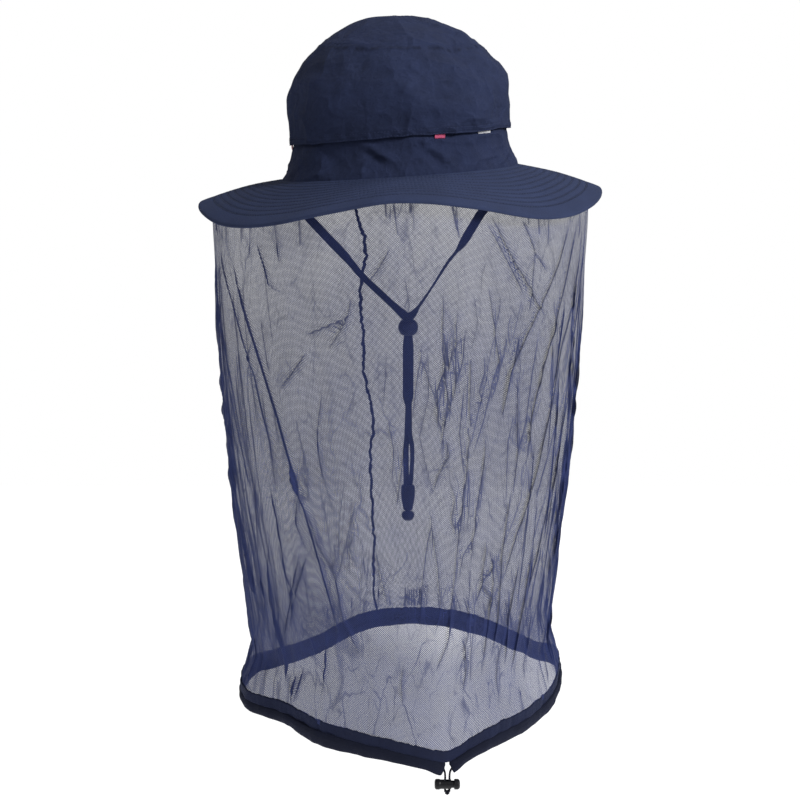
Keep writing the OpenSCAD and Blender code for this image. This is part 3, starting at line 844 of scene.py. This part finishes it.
def labels():
    """Pink ribbon ends at the front and the side, and a paler strip beside them: angle, size and the height
    at which the side panel's slope is taken."""
    for name, node, deg, w, h, t, at_z, back, mat, slot in (
        ("label_front_ribbon", "label_tab_front", 290, 8.5, 4.2, 0.7, 36, 0.1, ribbon_pink, "label_ribbon"),
        ("label_side_ribbon", "label_tab_side", 188, 8.5, 4.2, 0.7, 24, 0.1, ribbon_pink, "label_ribbon"),
        ("label_pale_strip", "label_strip", 318, 15, 3.4, 0.5, 36, 0.5, ribbon_pale, "label_strip"),
    ):
        ribbon(name, deg, w, h, t, side_inset(np.array(float(at_z))) + CLOTH_T + back, mat, slot, node)


# ---- net ----

# The net's radius for distances round it, and those that turn an x seen from the front into an angle
ARC_R, FRONT_R, BACK_R = 150, 153, 152
SPLIT_TOP, SPLIT_LOW, FOOT_Z = -40.0, -436.0, -443
NET_COLS, NET_ROUND = 720, 950


def arc_of(a):
    """Distance round the net from the front's middle, towards the wearer's left."""
    return ARC_R * np.radians(turn(a, 270))


def at_x(x):
    """The same distance for a point of the front at that x."""
    return ARC_R * math.asin(max(-1, min(1, x / FRONT_R)))


# Folds that the front shows: (x, z) lines with a width and a strength, over 1 where the net laps itself
SEEN_FOLDS = [
    ([(62, -14), (83, -55), (103, -91), (112, -104)], 2.6, 2.0),
    ([(58, -18), (72, -44), (92, -84)], 3.0, 1.2), ([(86, -20), (99, -50), (110, -66)], 2.0, 1.7),
    ([(98, -46), (95, -97)], 2.0, 1.4),
    ([(132, -22), (114, -70), (94, -112), (83, -140), (78, -178)], 3.2, 1.9),
    ([(139, -19), (124, -90), (112, -128), (102, -182), (100, -230)], 2.4, 2.0),
    ([(145, -21), (136, -88), (126, -132), (118, -184), (111, -228), (98, -276), (90, -312),
      (83, -340)], 2.8, 1.8),
    ([(139, -150), (131, -232), (124, -280), (117, -328), (109, -368)], 2.4, 1.7),
    ([(149, -24), (143, -90), (136, -150), (130, -240), (128, -330)], 2.4, 1.7),
    ([(150, -60), (147, -150), (142, -250), (138, -350)], 2.6, 1.7),
    ([(80, -288), (78, -303), (69, -314), (80, -332), (78, -350)], 2.0, 2.0),
    ([(-137, -36), (-126, -69), (-116, -107), (-106, -140), (-95, -180), (-84, -230), (-71, -285),
      (-63, -325), (-58, -355)], 2.8, 1.7),
    ([(-144, -40), (-134, -75), (-124, -112), (-113, -150), (-104, -200), (-100, -250)], 3.0, 1.2),
    ([(-149, -50), (-143, -110), (-134, -170), (-126, -240)], 2.2, 1.5),
    ([(-151, -80), (-149, -160), (-142, -240), (-136, -330), (-128, -400)], 2.6, 1.7),
    ([(-91, -22), (-88, -40), (-87, -56)], 1.9, 1.6),
    ([(-106, -40), (-99, -60), (-96, -73), (-86, -78)], 1.9, 1.7),
    ([(-34, -76), (-37, -92), (-54, -101), (-70, -109)], 1.7, 1.5),
    ([(-68, -121), (-80, -140), (-92, -156)], 2.0, 1.7), ([(-36, -92), (-45, -107), (-52, -118)], 2.6, 1.1),
    ([(-6, -38), (-15, -55), (-23, -66)], 1.8, 1.3),
    ([(31, -70), (30, -118), (34, -150), (40, -176)], 1.8, 1.3),
    ([(63, -68), (69, -105), (75, -140)], 1.8, 1.5), ([(41, -100), (40, -130), (39, -160)], 1.8, 1.2),
    ([(90, -106), (82, -140), (77, -180)], 2.2, 1.7), ([(-68, -288), (-62, -323), (-56, -358)], 1.9, 1.5),
    ([(-78, -290), (-94, -331), (-108, -373)], 2.0, 1.6),
    ([(-86, -293), (-102, -343), (-116, -386)], 2.2, 1.6), ([(22, -240), (30, -290), (34, -330)], 1.8, 1.2),
    ([(52, -180), (50, -240), (44, -300)], 1.8, 1.4), ([(66, -190), (60, -250), (58, -300)], 2.0, 1.4),
    ([(-20, -280), (-10, -330)], 1.6, 1.1), ([(90, -230), (86, -290), (88, -350), (84, -390)], 2.2, 1.8),
    ([(104, -300), (98, -350), (100, -400)], 2.2, 1.8), ([(116, -290), (112, -350), (108, -410)], 2.4, 1.9),
    ([(-120, -300), (-122, -350), (-116, -400), (-118, -430)], 3.0, 2.0),
    ([(-106, -410), (-112, -440)], 2.2, 1.7), ([(-96, -400), (-108, -436)], 2.0, 1.6),
    ([(52, -200), (58, -168), (66, -130)], 2.0, 1.2), ([(-58, -150), (-64, -190), (-60, -230)], 1.8, 1.3),
]


LOW_Z, HALF_ROUND = -438, 471


def upright_fold(rng):
    """Most of these lie at both sides."""
    side = rng.random()
    if side < 0.26:
        arc = rng.normal(232, 34)
    elif side < 0.50:
        arc = -rng.normal(236, 32)
    else:
        arc = rng.uniform(-HALF_ROUND, HALF_ROUND)
    lone = abs(abs(arc) - 235) > 90
    length = rng.uniform(30, 90) if lone else rng.uniform(70, 230)
    top = -rng.uniform(60, 390)
    lean = rng.normal(0, 0.10 if lone else 0.05) - 0.10 * (60 < arc < 200) + 0.10 * (-200 < arc < -60)
    low = max(top - length, LOW_Z)
    shift = lean * (top - low) / 2
    line = [(arc + shift, top), (arc + rng.normal(0, 2.5), (top + low) / 2), (arc - shift, low)]
    width = rng.uniform(1.6, 2.2 if lone else 2.6)
    return line, width, rng.uniform(0.7 if lone else 0.9, 1.5)


def leaning_fold(rng):
    """These run down and inwards over the front."""
    right = rng.random() < 0.68
    arc = rng.uniform(25, 190) if right else -rng.uniform(40, 200)
    top, lean = -rng.uniform(70, 330), rng.normal(-0.12 if right else 0.16, 0.12)
    low = max(top - rng.uniform(26, 120), LOW_Z)
    bend = rng.normal(0, 2.2, 3)
    shift = lean * (top - low)
    line = [(arc, top), (arc + shift * 0.3 + bend[0], mix(top, low, 0.33)),
            (arc + shift * 0.65 + bend[1], mix(top, low, 0.66)), (arc + shift + bend[2], low)]
    return line, rng.uniform(1.5, 2.4), rng.uniform(0.5, 1.5)


def hem_fold(rng):
    """A short one above the hem, or nothing in the middle of the front."""
    arc = rng.uniform(-HALF_ROUND, HALF_ROUND)
    if abs(arc) < 120:
        return None
    tall = 1.8 if abs(abs(arc) - 225) < 60 else 1
    line = [(arc, FOOT_Z), (arc + rng.normal(0, 3), FOOT_Z + rng.uniform(14, 34) * tall)]
    return line, rng.uniform(1.5, 2.2), rng.uniform(0.9, 1.7)


def brim_fold(rng):
    """A short one below the brim."""
    arc = rng.uniform(-HALF_ROUND, HALF_ROUND)
    top = float(net_top_z(np.radians(270 + np.degrees(arc / ARC_R))))
    line = [(arc, top + 2), (arc + rng.normal(0, 2), top - rng.uniform(10, 34))]
    return line, rng.uniform(1.5, 2.2), rng.uniform(0.6, 1.4)


def random_folds():
    """Fine folds, each a line of (distance round, height) points with a width and a strength."""
    rng = np.random.default_rng(29)
    kinds = ((upright_fold, 150), (leaning_fold, 95), (hem_fold, 84), (brim_fold, 60))
    made = [kind(rng) for kind, count in kinds for _ in range(count)]
    return [fold for fold in made if fold]


def fold_field(arc, z, folds):
    """Sideways, upward and outward shifts of the net, how near each point is to a fold, and the signed
    distance to the nearest fold with how clear that fold is."""
    side, up, out, near_all, clear = (np.zeros(arc.shape) for _ in range(5))
    line, line_dist = (np.full(arc.shape, 99.0) for _ in range(2))
    for points, width, strength in folds:
        pts = np.array(points, float)
        lo, hi = pts.min(0) - 4 * width, pts.max(0) + 4 * width
        inside = (arc > lo[0]) & (arc < hi[0]) & (z > lo[1]) & (z < hi[1])
        if not inside.any():
            continue
        near, signed, share, nx, ny = near_line(arc[inside], z[inside], pts)
        ends = faded(share, 0.2)
        core = np.exp(-((near / width) ** 2)) * ends
        side[inside] -= strength * signed * core * nx
        up[inside] -= strength * signed * core * ny
        out[inside] += (0.55 * strength * signed + 0.5 * width * min(strength, 1)) * core
        near_all[inside] = np.maximum(near_all[inside], core * min(strength, 2) / 2)
        mine = near < line_dist[inside]
        line_dist[inside] = np.where(mine, near, line_dist[inside])
        line[inside] = np.where(mine, np.sign(signed) * near, line[inside])
        clarity = ends * np.clip(1.6 - near / 4, 0, 1) * min(strength / 1.7, 1)
        clear[inside] = np.where(mine, clarity, clear[inside])
    return side, up, out, near_all, line, clear


# Places where the net shows darker, by a larger thread share: bunched net, and in the first two patches, at
# the front's top left under the brim, a painted shadow; distance round, height, width and height of the
# patch
BUNCHED_AND_SHADOWED = [(-97, -36, 26, 14), (-62, -30, 18, 12), (118, -32, 30, 12), (150, -60, 16, 40),
           (-196, -60, 36, 60), (-160, -44, 26, 22), (200, -70, 30, 60)]


def thread_share(a, z, s, near):
    """The share of the net's area that is thread, more where it is folded, at both sides and lower down, and
    in patches of bunched net and of painted shadow under the brim.
    """
    arc, ring = arc_of(a), round_pt(a, 150, z)
    front, at_side = np.clip(-np.sin(a) * 2, 0, 1), np.maximum(bump(a, 0, 34), bump(a, 180, 34))
    share = 0.43 + 0.10 * np.clip(s / 0.3, 0, 1) + (0.03 + 0.22 * front) * np.clip((s - 0.70) / 0.15, 0, 1)
    share = share + 0.17 * near + 0.06 * fbm(ring, (34, 34, 90), 99, 2)
    share = share + 0.08 * at_side ** 2 + 0.06 * at_side * np.clip((s - 0.45) / 0.4, 0, 1)
    share = share + 0.18 * bump(a, 236, 30) * np.clip(s / 0.6, 0.4, 1) - 0.12 * bump(a, 338, 16)
    # patches of bunched net, and painted shadow under the brim, as more thread
    for arc0, z0, wide, tall in BUNCHED_AND_SHADOWED:
        share = share + 0.11 * np.exp(-((arc - arc0) / wide) ** 2 - ((z - z0) / tall) ** 2)
    return np.clip(share, 0.3, 0.85)


def net_points(a, z, folds, out_by=0.0):
    """The net's surface at angles a and heights z, with its thread share, fold distance and clarity."""
    top, low = net_top_z(a), hem_z(a) + 0.4
    s = np.clip((top - z) / (top - low), 0, 1)
    ring = round_pt(a, 150, z)
    free = np.clip(s / 0.05, 0, 1) * np.clip((1 - s) / 0.03, 0, 1)
    side, up, out, near, line, clear = fold_field(arc_of(a), z, folds)
    at_side = np.maximum(bump(a, 0, 34), bump(a, 180, 34))
    wave = (1.6 + 1.2 * at_side) * fbm(ring, (26, 26, 170), 91, 3)
    wave = wave + 0.5 * noise(ring, (6, 6, 60), 95) * (0.5 + at_side)
    gather = 0.7 * noise(ring, (3.6, 3.6, 400), 97) * (np.exp(-s * 20) + 1.2 * np.exp(-(1 - s) * 27.5))
    r = net_r(a, s) + (wave + out) * free + gather * np.clip(np.minimum(s, 1 - s) / 0.006, 0, 1) + out_by
    p = round_pt(a + side * free / np.maximum(r, 1), r, z + up * free)
    return p, thread_share(a, z, s, near), line, clear


def net_piece(name, body, top, low, count, folds):
    """One height band of the net; the bands share their edges exactly."""
    cols = (np.arange(NET_COLS) + 0.5) / NET_COLS * TAU + math.pi / 2
    a, t = np.meshgrid(cols, np.linspace(0, 1, count), indexing="ij")
    z = mix(top(a), low(a), t)
    p, share, line, clear = net_points(a, z, folds)
    arc = np.arange(NET_COLS + 1)[:, None] / NET_COLS * NET_ROUND
    o = grid(name, p, uv=corner_uv(*np.broadcast_arrays(arc, np.vstack([z, z[:1]]))))
    for attribute, values in (("cover", share), ("fold", line), ("fold_clear", clear)):
        point_values(o, attribute, values)
    return place(o, body, "net", veil_netting)


def flat_z(value):
    return lambda a: np.full(np.shape(a), value)


def net():
    seen = [([(at_x(x), z) for x, z in line], width, strength) for line, width, strength in SEEN_FOLDS]
    folds = seen + random_folds()
    top = net_piece("net_top", "hat", net_top_z, flat_z(SPLIT_TOP), 12, folds)
    main = net_piece("net_main", "hat", flat_z(SPLIT_TOP), flat_z(SPLIT_LOW), 128, folds)
    foot = net_piece("net_foot", "veil_hem", flat_z(SPLIT_LOW), lambda a: hem_z(a) - 4, 10, folds)
    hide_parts("veil_net")
    return top, main, foot


# The back seam's route as it shows from the front, as (z, x) points
SEAM_LINE = [(-20, -46), (-42, -42), (-69, -33), (-94, -31), (-127, -36), (-171, -34), (-205, -35),
             (-227, -30), (-255, -26), (-284, -30), (-331, -30), (-371, -28), (-392, -31), (-424, -30),
             (-444, -26)]


def back_seam():
    """The bound seam that closes the net's tube, in the same height bands as the net."""
    made = []
    for name, body, top, low, count in (
        ("back_seam_top", "hat", float(net_top_z(np.radians(103.0))), SPLIT_TOP, 14),
        ("back_seam_main", "hat", SPLIT_TOP, SPLIT_LOW, 260),
        ("back_seam_foot", "veil_hem", SPLIT_LOW, FOOT_Z, 8),
    ):
        z = np.linspace(top, low, count)
        at = np.stack([z, z, z], -1)
        x = by_height(z, SEAM_LINE)[0] + 1.1 * noise(at, 9, 111) + 0.9 * noise(at, 3, 113)
        a = math.pi / 2 + np.arcsin(-x / BACK_R)
        half = (1.5 + 0.5 * noise(at, 5, 115)) / BACK_R
        ring = [net_points(a + half * math.cos(w), z, [], 0.9 + 0.75 * math.sin(w))[0]
                for w in np.arange(10) * TAU / 10]
        o = grid(name, np.stack(ring, 1), ring=False, tube=True)
        made.append(place(o, body, "tape", tape_cloth))
    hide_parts("veil_back_seam")
    return made


# ---- hem ----

HEM_N, HEM_ROUND = 1080, 942


def hem_wrinkle(a, dz):
    ring = round_pt(a, HEM_MEAN_R, dz)
    return 0.9 * noise(ring, (7, 7, 26), 121) + 0.45 * noise(ring, (2.8, 2.8, 14), 123)


def hem_band():
    a1 = np.arange(HEM_N) * TAU / HEM_N
    dz = np.concatenate([np.linspace(-HEM_BAND_H - 0.6, 0, 12), np.linspace(0, -HEM_BAND_H - 0.6, 12)])
    out = np.concatenate([np.full(12, 0.75), np.full(12, -0.75)])
    out[[0, 11, 12, 23]] *= 0.6
    a, z = np.meshgrid(a1, dz, indexing="ij")
    ring = round_pt(a, HEM_MEAN_R, 0)
    rag = 0.75 * noise(ring, 1.9, 131) + 0.9 * noise(ring, 11, 133)
    z = z + rag * np.clip((z + 3) / 3, 0, 1)
    gentle = 0.8 * noise(ring, 30, 135)
    o = grid("hem_band_cloth", hem_pt(a, out + 0.75 * hem_wrinkle(a, z) + gentle, z), tube=True)
    return place(o, "veil_hem", "hem_cloth", hem_cloth, "hem_band")


def hem_casing():
    """The casing: a flattened, wrinkled tube, rounded off where it is cut open at the drawcord."""
    n, m = HEM_N, 20
    end = math.radians(CASING_GAP_A)
    t = np.concatenate([[0, 0, 0.0006], np.linspace(0.0016, 0.9984, n - 6), [0.9994, 1, 1]])
    scale = np.ones(n)
    scale[[0, 1, 2, -3, -2, -1]] = [0.36, 0.74, 0.93, 0.93, 0.74, 0.36]
    a0, w = np.meshgrid(LOCK_A + end + t * (TAU - 2 * end), np.arange(m) * TAU / m, indexing="ij")
    k, up = scale[:, None], np.sin(w)
    below = up < 0
    near = (np.exp(-((t * HEM_ROUND) / 9) ** 2) - np.exp(-(((1 - t) * HEM_ROUND) / 9) ** 2))[:, None]
    a = a0 - np.radians(1.25) * near * (up + 1) * 0.5
    ring = round_pt(a, HEM_MEAN_R, 5 * up)
    flat = signed_power(np.cos(w), 0.8)
    lump = 0.55 * noise(ring, (6, 6, 7), 141) + 0.8 * noise(ring, (18, 18, 30), 143)
    groove = 0.35 * np.exp(-((up - 0.55) / 0.12) ** 2) * np.cos(w)
    dr = CASING_HALF_T * flat * k * (1 + 0.1 * noise(ring, 9, 147)) + lump - groove
    full = 0.75 * bump(a, 241, 19) + 0.25 * bump(a, 318, 20) + 0.12 * noise(ring, (22, 22, 100), 149)
    hang = CASING_H / 2 * up * (1 + full * below) + 0.7 * noise(ring, (14, 14, 100), 145) * below
    dz = CASING_DZ + hang * k - 2.5 * np.abs(near) * (1 - up) / 2
    o = grid("hem_casing_cloth", hem_pt(a, dr, dz), ring=False, tube=True)
    # painted shade: the casing takes the darker copy of the hem's cloth
    return place(o, "veil_hem", "hem_cloth", casing_shaded_cloth, "hem_casing")


def tube(points, radius, sides, twist=0.0, lumps=0.0):
    """A round cord along points; lumps makes a braid's ridges."""
    p = np.asarray(points, float)
    t = unit(np.gradient(p, axis=0))
    up = np.where(abs(t[:, 2:3]) > 0.9, np.array([[0, 1.0, 0]]), np.array([[0, 0, 1.0]]))
    x = unit(np.cross(up, t))
    y = np.cross(t, x)
    w = np.arange(sides) * TAU / sides
    s = run_length(p)[:, None]
    r = radius * (1 + lumps * np.sin(w * 4 + s * twist) * np.sin(w * 4 - s * twist))
    around = np.cos(w)[None, :, None] * x[:, None] + np.sin(w)[None, :, None] * y[:, None]
    return p[:, None] + r[..., None] * around


def drawcord():
    """The cord's loop inside the casing, with both ends out and down to the lock."""
    strand = np.array([(1.8, -5.6), (1.8, 0), (1.8, 8), (2.3, 11.5), (3.6, 14.6)])
    start = CASING_GAP_A + 0.4
    a = LOCK_A + np.radians(start + (360 - 2 * start) * np.linspace(0, 1, 91))
    right, left = (LOCK_AT + np.outer(strand[:, 0], (side, 0, 0)) + np.outer(strand[:, 1], (0, 0, 1))
                   for side in (1, -1))
    line = smooth_line(np.vstack([right, hem_pt(a, 0, CASING_DZ), left[::-1]]), 0.9)
    o = grid("drawcord_braid", tube(line, CORD_D / 2 * 0.97, 12, 2.6, 0.06), ring=False, tube=True)
    return place(o, "veil_hem", "drawcord", braid, "hem_drawcord")


def knot():
    """An overhand knot of both cord ends with short cut tails."""
    t = np.linspace(0, TAU, 90, endpoint=False)
    line = np.stack([1.25 * (np.sin(t) + 0.55 * np.sin(2 * t)), 0.95 * np.sin(3 * t),
                     1.05 * (np.cos(t) - 0.55 * np.cos(2 * t))], -1)
    low = LOCK_AT + np.array([0, 0, -6.8])
    o = grid("knot_loops", tube(line, 0.95, 12, 3, 0.05) + low, ring=True, tube=True)
    place(o, "veil_hem", "drawcord", braid, "drawcord_knot")
    for k, side in enumerate((-1, 1)):
        tail = smooth_line([(side * 0.5, 0.2, -0.3), (side * 0.8, 0.2, -1.0), (side * 1.1, 0.3, -1.9)], 0.3)
        end = grid(f"knot_tail_{k + 1}", tube(tail, 0.85, 12, 3, 0.05) + low, ring=False, tube=True)
        place(end, "veil_hem", "drawcord", braid)


# ---- chin strap ----

# How each tape's face turns, in degrees, and how far it is shifted sideways and back, as lists by height
LEFT_TURNS = [
    (-64, 0), (-74, 44), (-92, 54), (-112, 50), (-124, 0), (-192, 0), (-199, 46), (-228, 46),
    (-236, 50), (-264, 52), (-273, 0)
]
LEFT_SHIFTS = [
    (-139, 0, 0), (-147, -0.9, 0), (-190, -0.9, 0), (-200, 0.2, -0.4), (-228, -0.5, -0.4),
    (-238, -1.7, -0.4), (-262, -1.5, -0.4), (-272, -0.2, 0), (-400, 0, 0)
]
RIGHT_TURNS = [
    (-54, 0), (-66, 64), (-98, 74), (-114, 64), (-124, 0), (-192, 0), (-198, 52), (-226, 56),
    (-236, 62), (-262, 62), (-273, 0)
]
RIGHT_SHIFTS = [
    (-139, 0, 0), (-147, 0.9, 0), (-190, 0.9, 0), (-200, 0.6, 0.5), (-226, 1.2, 0.4),
    (-236, 3.6, 0.3), (-248, 4.0, 0.3), (-262, 3.2, 0.3), (-272, 0.2, 0), (-400, 0, 0)
]


def strap_tape(name, route, y, turns, shifts, node):
    """A woven tape along a route in the XZ plane."""
    line = smooth_line(route, 1.2)
    x, z = line[:, 0], line[:, 1]
    tangent = unit(np.gradient(line, axis=0))
    angle = np.radians(by_height(z, turns)[0])
    aside, back = by_height(z, shifts)
    c = np.stack([x + aside, y + back, z], -1)
    across = np.stack([-tangent[:, 1] * np.cos(angle), np.sin(angle), tangent[:, 0] * np.cos(angle)], -1)
    along = np.stack([tangent[:, 0], 0 * x, tangent[:, 1]], -1)
    face = np.cross(along, across)
    w = np.arange(24) * TAU / 24
    flat = signed_power(np.cos(w), 0.45)
    thick = signed_power(np.sin(w), 0.6) * STRAP_T * 0.42
    curl = 0.22 * np.sin(run_length(c)[:, None] / 17 + 1.3) * flat ** 2
    wide = across[:, None] * (STRAP_W / 2 * flat)[:, None]
    p = c[:, None] + wide + face[:, None] * (thick + curl)[..., None]
    return place(grid(name, p, ring=False, tube=True), "chin_strap", "strap_webbing", strap_webbing, node)


def lathe(name, profile, at, n):
    """A turned piece from (radius, height) points."""
    prof = smooth_line(profile, 0.35)
    w = np.arange(n)[:, None] * TAU / n
    return grid(name, round_pt(w, np.maximum(prof[:, 0], 0.01), prof[:, 1]) + np.array(at, float))


def slider():
    """A ball with flat ends and a dark slot where the tapes go through."""
    r, half = 8.5, 6.4
    rim = math.sqrt(r * r - half * half)
    arc = np.linspace(-math.asin(half / r) + 0.06, math.asin(half / r) - 0.06, 21)
    end = [(0.2, half - 0.5), (2.0, half - 0.5), (4.3, half - 0.45), (4.9, half), (rim - 0.5, half)]
    ball = [(r * math.cos(t), r * math.sin(t)) for t in arc]
    o = lathe("slider_ball", [(x, -z) for x, z in end] + ball + end[::-1], (TAIL_X, 0, SLIDER_Z), 96)
    return place(o, "strap_slider", "slider_plastic", slider_plastic, "chin_slider")


def strap_ends():
    """The tapered sleeve, with a soft waist, and the bead below it."""
    w = np.arange(64) * TAU / 64
    rings = []
    for t in np.linspace(0, 1, 40):
        half_x = np.interp(t, [0, 0.06, 0.35, 0.6, 0.95, 1], [5.3, 5.9, 6.1, 5.6, 4.1, 3.7])
        half_y = np.interp(t, [0, 0.06, 0.5, 1], [1.9, 2.25, 2.25, 1.9])
        x = TAIL_X + half_x * signed_power(np.cos(w), 0.8)
        rings.append(np.stack([x, half_y * np.sin(w), mix(SLEEVE_TOP, SLEEVE_BOTTOM, t) + 0 * w], -1))
    first, last = ([mix(ring.mean(0), ring, f) for f in (0.05, 0.85)] for ring in (rings[0], rings[-1]))
    sleeve = grid("strap_sleeve", np.stack(first + rings + last[::-1], 1))
    place(sleeve, "chin_strap", "end_plastic", end_plastic, "strap_end_sleeve")
    profile = [(0, 0), (2, 0), (2.2, -1.0), (3.0, -1.4), (4.6, -2), (5.5, -3.6), (5.6, -4.6), (5.4, -6.4),
               (4.6, -8.0), (3.2, -9.1), (1.2, -9.4), (0, -9.4)]
    bead = lathe("strap_bead", profile, (TAIL_X, 0, SLEEVE_BOTTOM), 72)
    place(bead, "chin_strap", "end_plastic", end_plastic, "strap_end_bead")
    return sleeve, bead


def anchors():
    """Two folded tabs sewn under the sweatband."""
    for side, name in ((-1, "left"), (1, "right")):
        top = float(seam_z(np.array(0.0 if side > 0 else math.pi))) + 0.8
        low = HINGE_Z - 0.9
        x = np.linspace(-TAB_HALF_W, TAB_HALF_W, 18)
        loop = []
        for f in np.linspace(-1, 1, 31):
            z = mix(low, top, abs(f) ** 0.9)
            y = 1.2 * np.sign(f) * min(1, abs(f) * 5) + 0.12 * np.sin(x * 1.1 + z * 0.4)
            loop.append(np.stack([side * TAB_X + x, y, np.full(18, z)], -1))
        o = grid(f"strap_anchor_{name}", np.stack(loop, 1), ring=False)
        place(o, "hat", "strap_webbing", strap_webbing)
        if side > 0:
            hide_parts("chin_strap_anchors")


# ---- cord lock ----

BORE_END_X, SHAFT_END_X, LOCK_TRAVEL = -9, -5.6, 2.2
SPRING_TURNS, COIL_R, WIRE_R, SPRING_GAP = 3, 2.3, 0.2, 0.05


def cord_lock():
    """The CAD barrel and plunger are the right shapes already: they get their own finish."""
    for node in ("hem_lock_body", "hem_lock_plunger"):
        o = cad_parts[node]
        o.data.materials.clear()
        o.data.materials.append(lock_plastic)


def lock_spring():
    """The coil between the bore's blind end and the plunger, modelled at rest; the real one flattens as the
    button goes in.
    """
    t = np.linspace(0, 1, 109)
    w = TAU * SPRING_TURNS * t
    first, last = BORE_END_X + SPRING_GAP + WIRE_R, SHAFT_END_X - SPRING_GAP - WIRE_R
    line = LOCK_AT + np.stack([mix(first, last, t), COIL_R * np.cos(w), COIL_R * np.sin(w)], -1)
    o = grid("lock_spring_coil", tube(line, WIRE_R, 10), ring=False, tube=True)
    place(o, "hem_lock", "spring_steel", spring_steel, "hem_lock_spring")
    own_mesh(o)


tape_left = strap_tape("strap_tape_left", LEFT_ROUTE, -LAYER_Y, LEFT_TURNS, LEFT_SHIFTS,
                       "chin_strap_left")
tape_right = strap_tape("strap_tape_right", RIGHT_ROUTE, LAYER_Y, RIGHT_TURNS, RIGHT_SHIFTS,
                        "chin_strap_right")
strap_slider = slider()
sleeve, bead = strap_ends()
anchors()
crown_tip()
side_outer, side_normals, side_lift = crown_side()
flap_stitches(side_outer, side_normals, side_lift)
crown_band()
vent_mesh()
sweatband()
brim_top()
brim_layer("brim_stiffener", -(LAYER_T + LAYER_GAP) - 0.4, stiffener, "interlining", "brim_interlining", 0)
brim_layer("brim_under_cloth", -2 * (LAYER_T + LAYER_GAP) - 0.6, under_cloth, "brim_cloth",
           "brim_underside", 0.5)
veil_tape()
labels()
net_top, net_main, net_foot = net()
seams = back_seam()
hem_band()
hem_casing()
drawcord()
knot()
cord_lock()
lock_spring()

for piece in (net_main, seams[1]):
    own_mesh(piece)

# ---- stage and lights ----

AMBIENT = 0.30
FLOOR_Z, FLOOR_HALF = -0.62, 1.1
# Each area light's name, place, size and power
LIGHTS = [
    ("key", (1.62, -1.30, 1.15), 0.6, 42),
    ("fill", (-1.6, -1.2, 0.3), 1.4, 3),
    ("top", (0.8, 0.5, 1.6), 0.8, 8),
]


def world_light():
    """White to the camera, and AMBIENT's share of it to everything else."""
    world = bpy.data.worlds.new("studio")
    bpy.context.scene.world = world
    n = Nodes(world, "Background")
    n.put(n.shader.inputs["Color"], (1, 1, 1, 1))
    n.put(n.shader.inputs["Strength"], n.ramp(n.add("LightPath"), 0.0, 1.0, AMBIENT, 1.0))


def white_floor():
    """A plain square floor that shows white."""
    me = bpy.data.meshes.new("floor")
    corners = [(x * FLOOR_HALF, y * FLOOR_HALF, FLOOR_Z) for x, y in ((-1, -1), (1, -1), (1, 1), (-1, 1))]
    me.from_pydata(corners, [], [(0, 1, 2, 3)])
    floor = link(bpy.data.objects.new("floor", me))
    me.materials.append(material("floor").surface(
        (0.3, 0.3, 0.3, 1), 1, Specular_IOR_Level=0, Emission_Color=(1, 1, 1, 1), Emission_Strength=0.93))


def lights():
    for name, at, size, power in LIGHTS:
        light = link(bpy.data.objects.new(name, bpy.data.lights.new(name, "AREA")))
        light.data.size = size
        light.data.energy = power
        aim(light, at, (0, 0, -0.1))


world_light()
white_floor()
lights()
bpy.context.scene.view_settings.view_transform = "Standard"
bpy.context.scene.cycles.transparent_max_bounces = 32
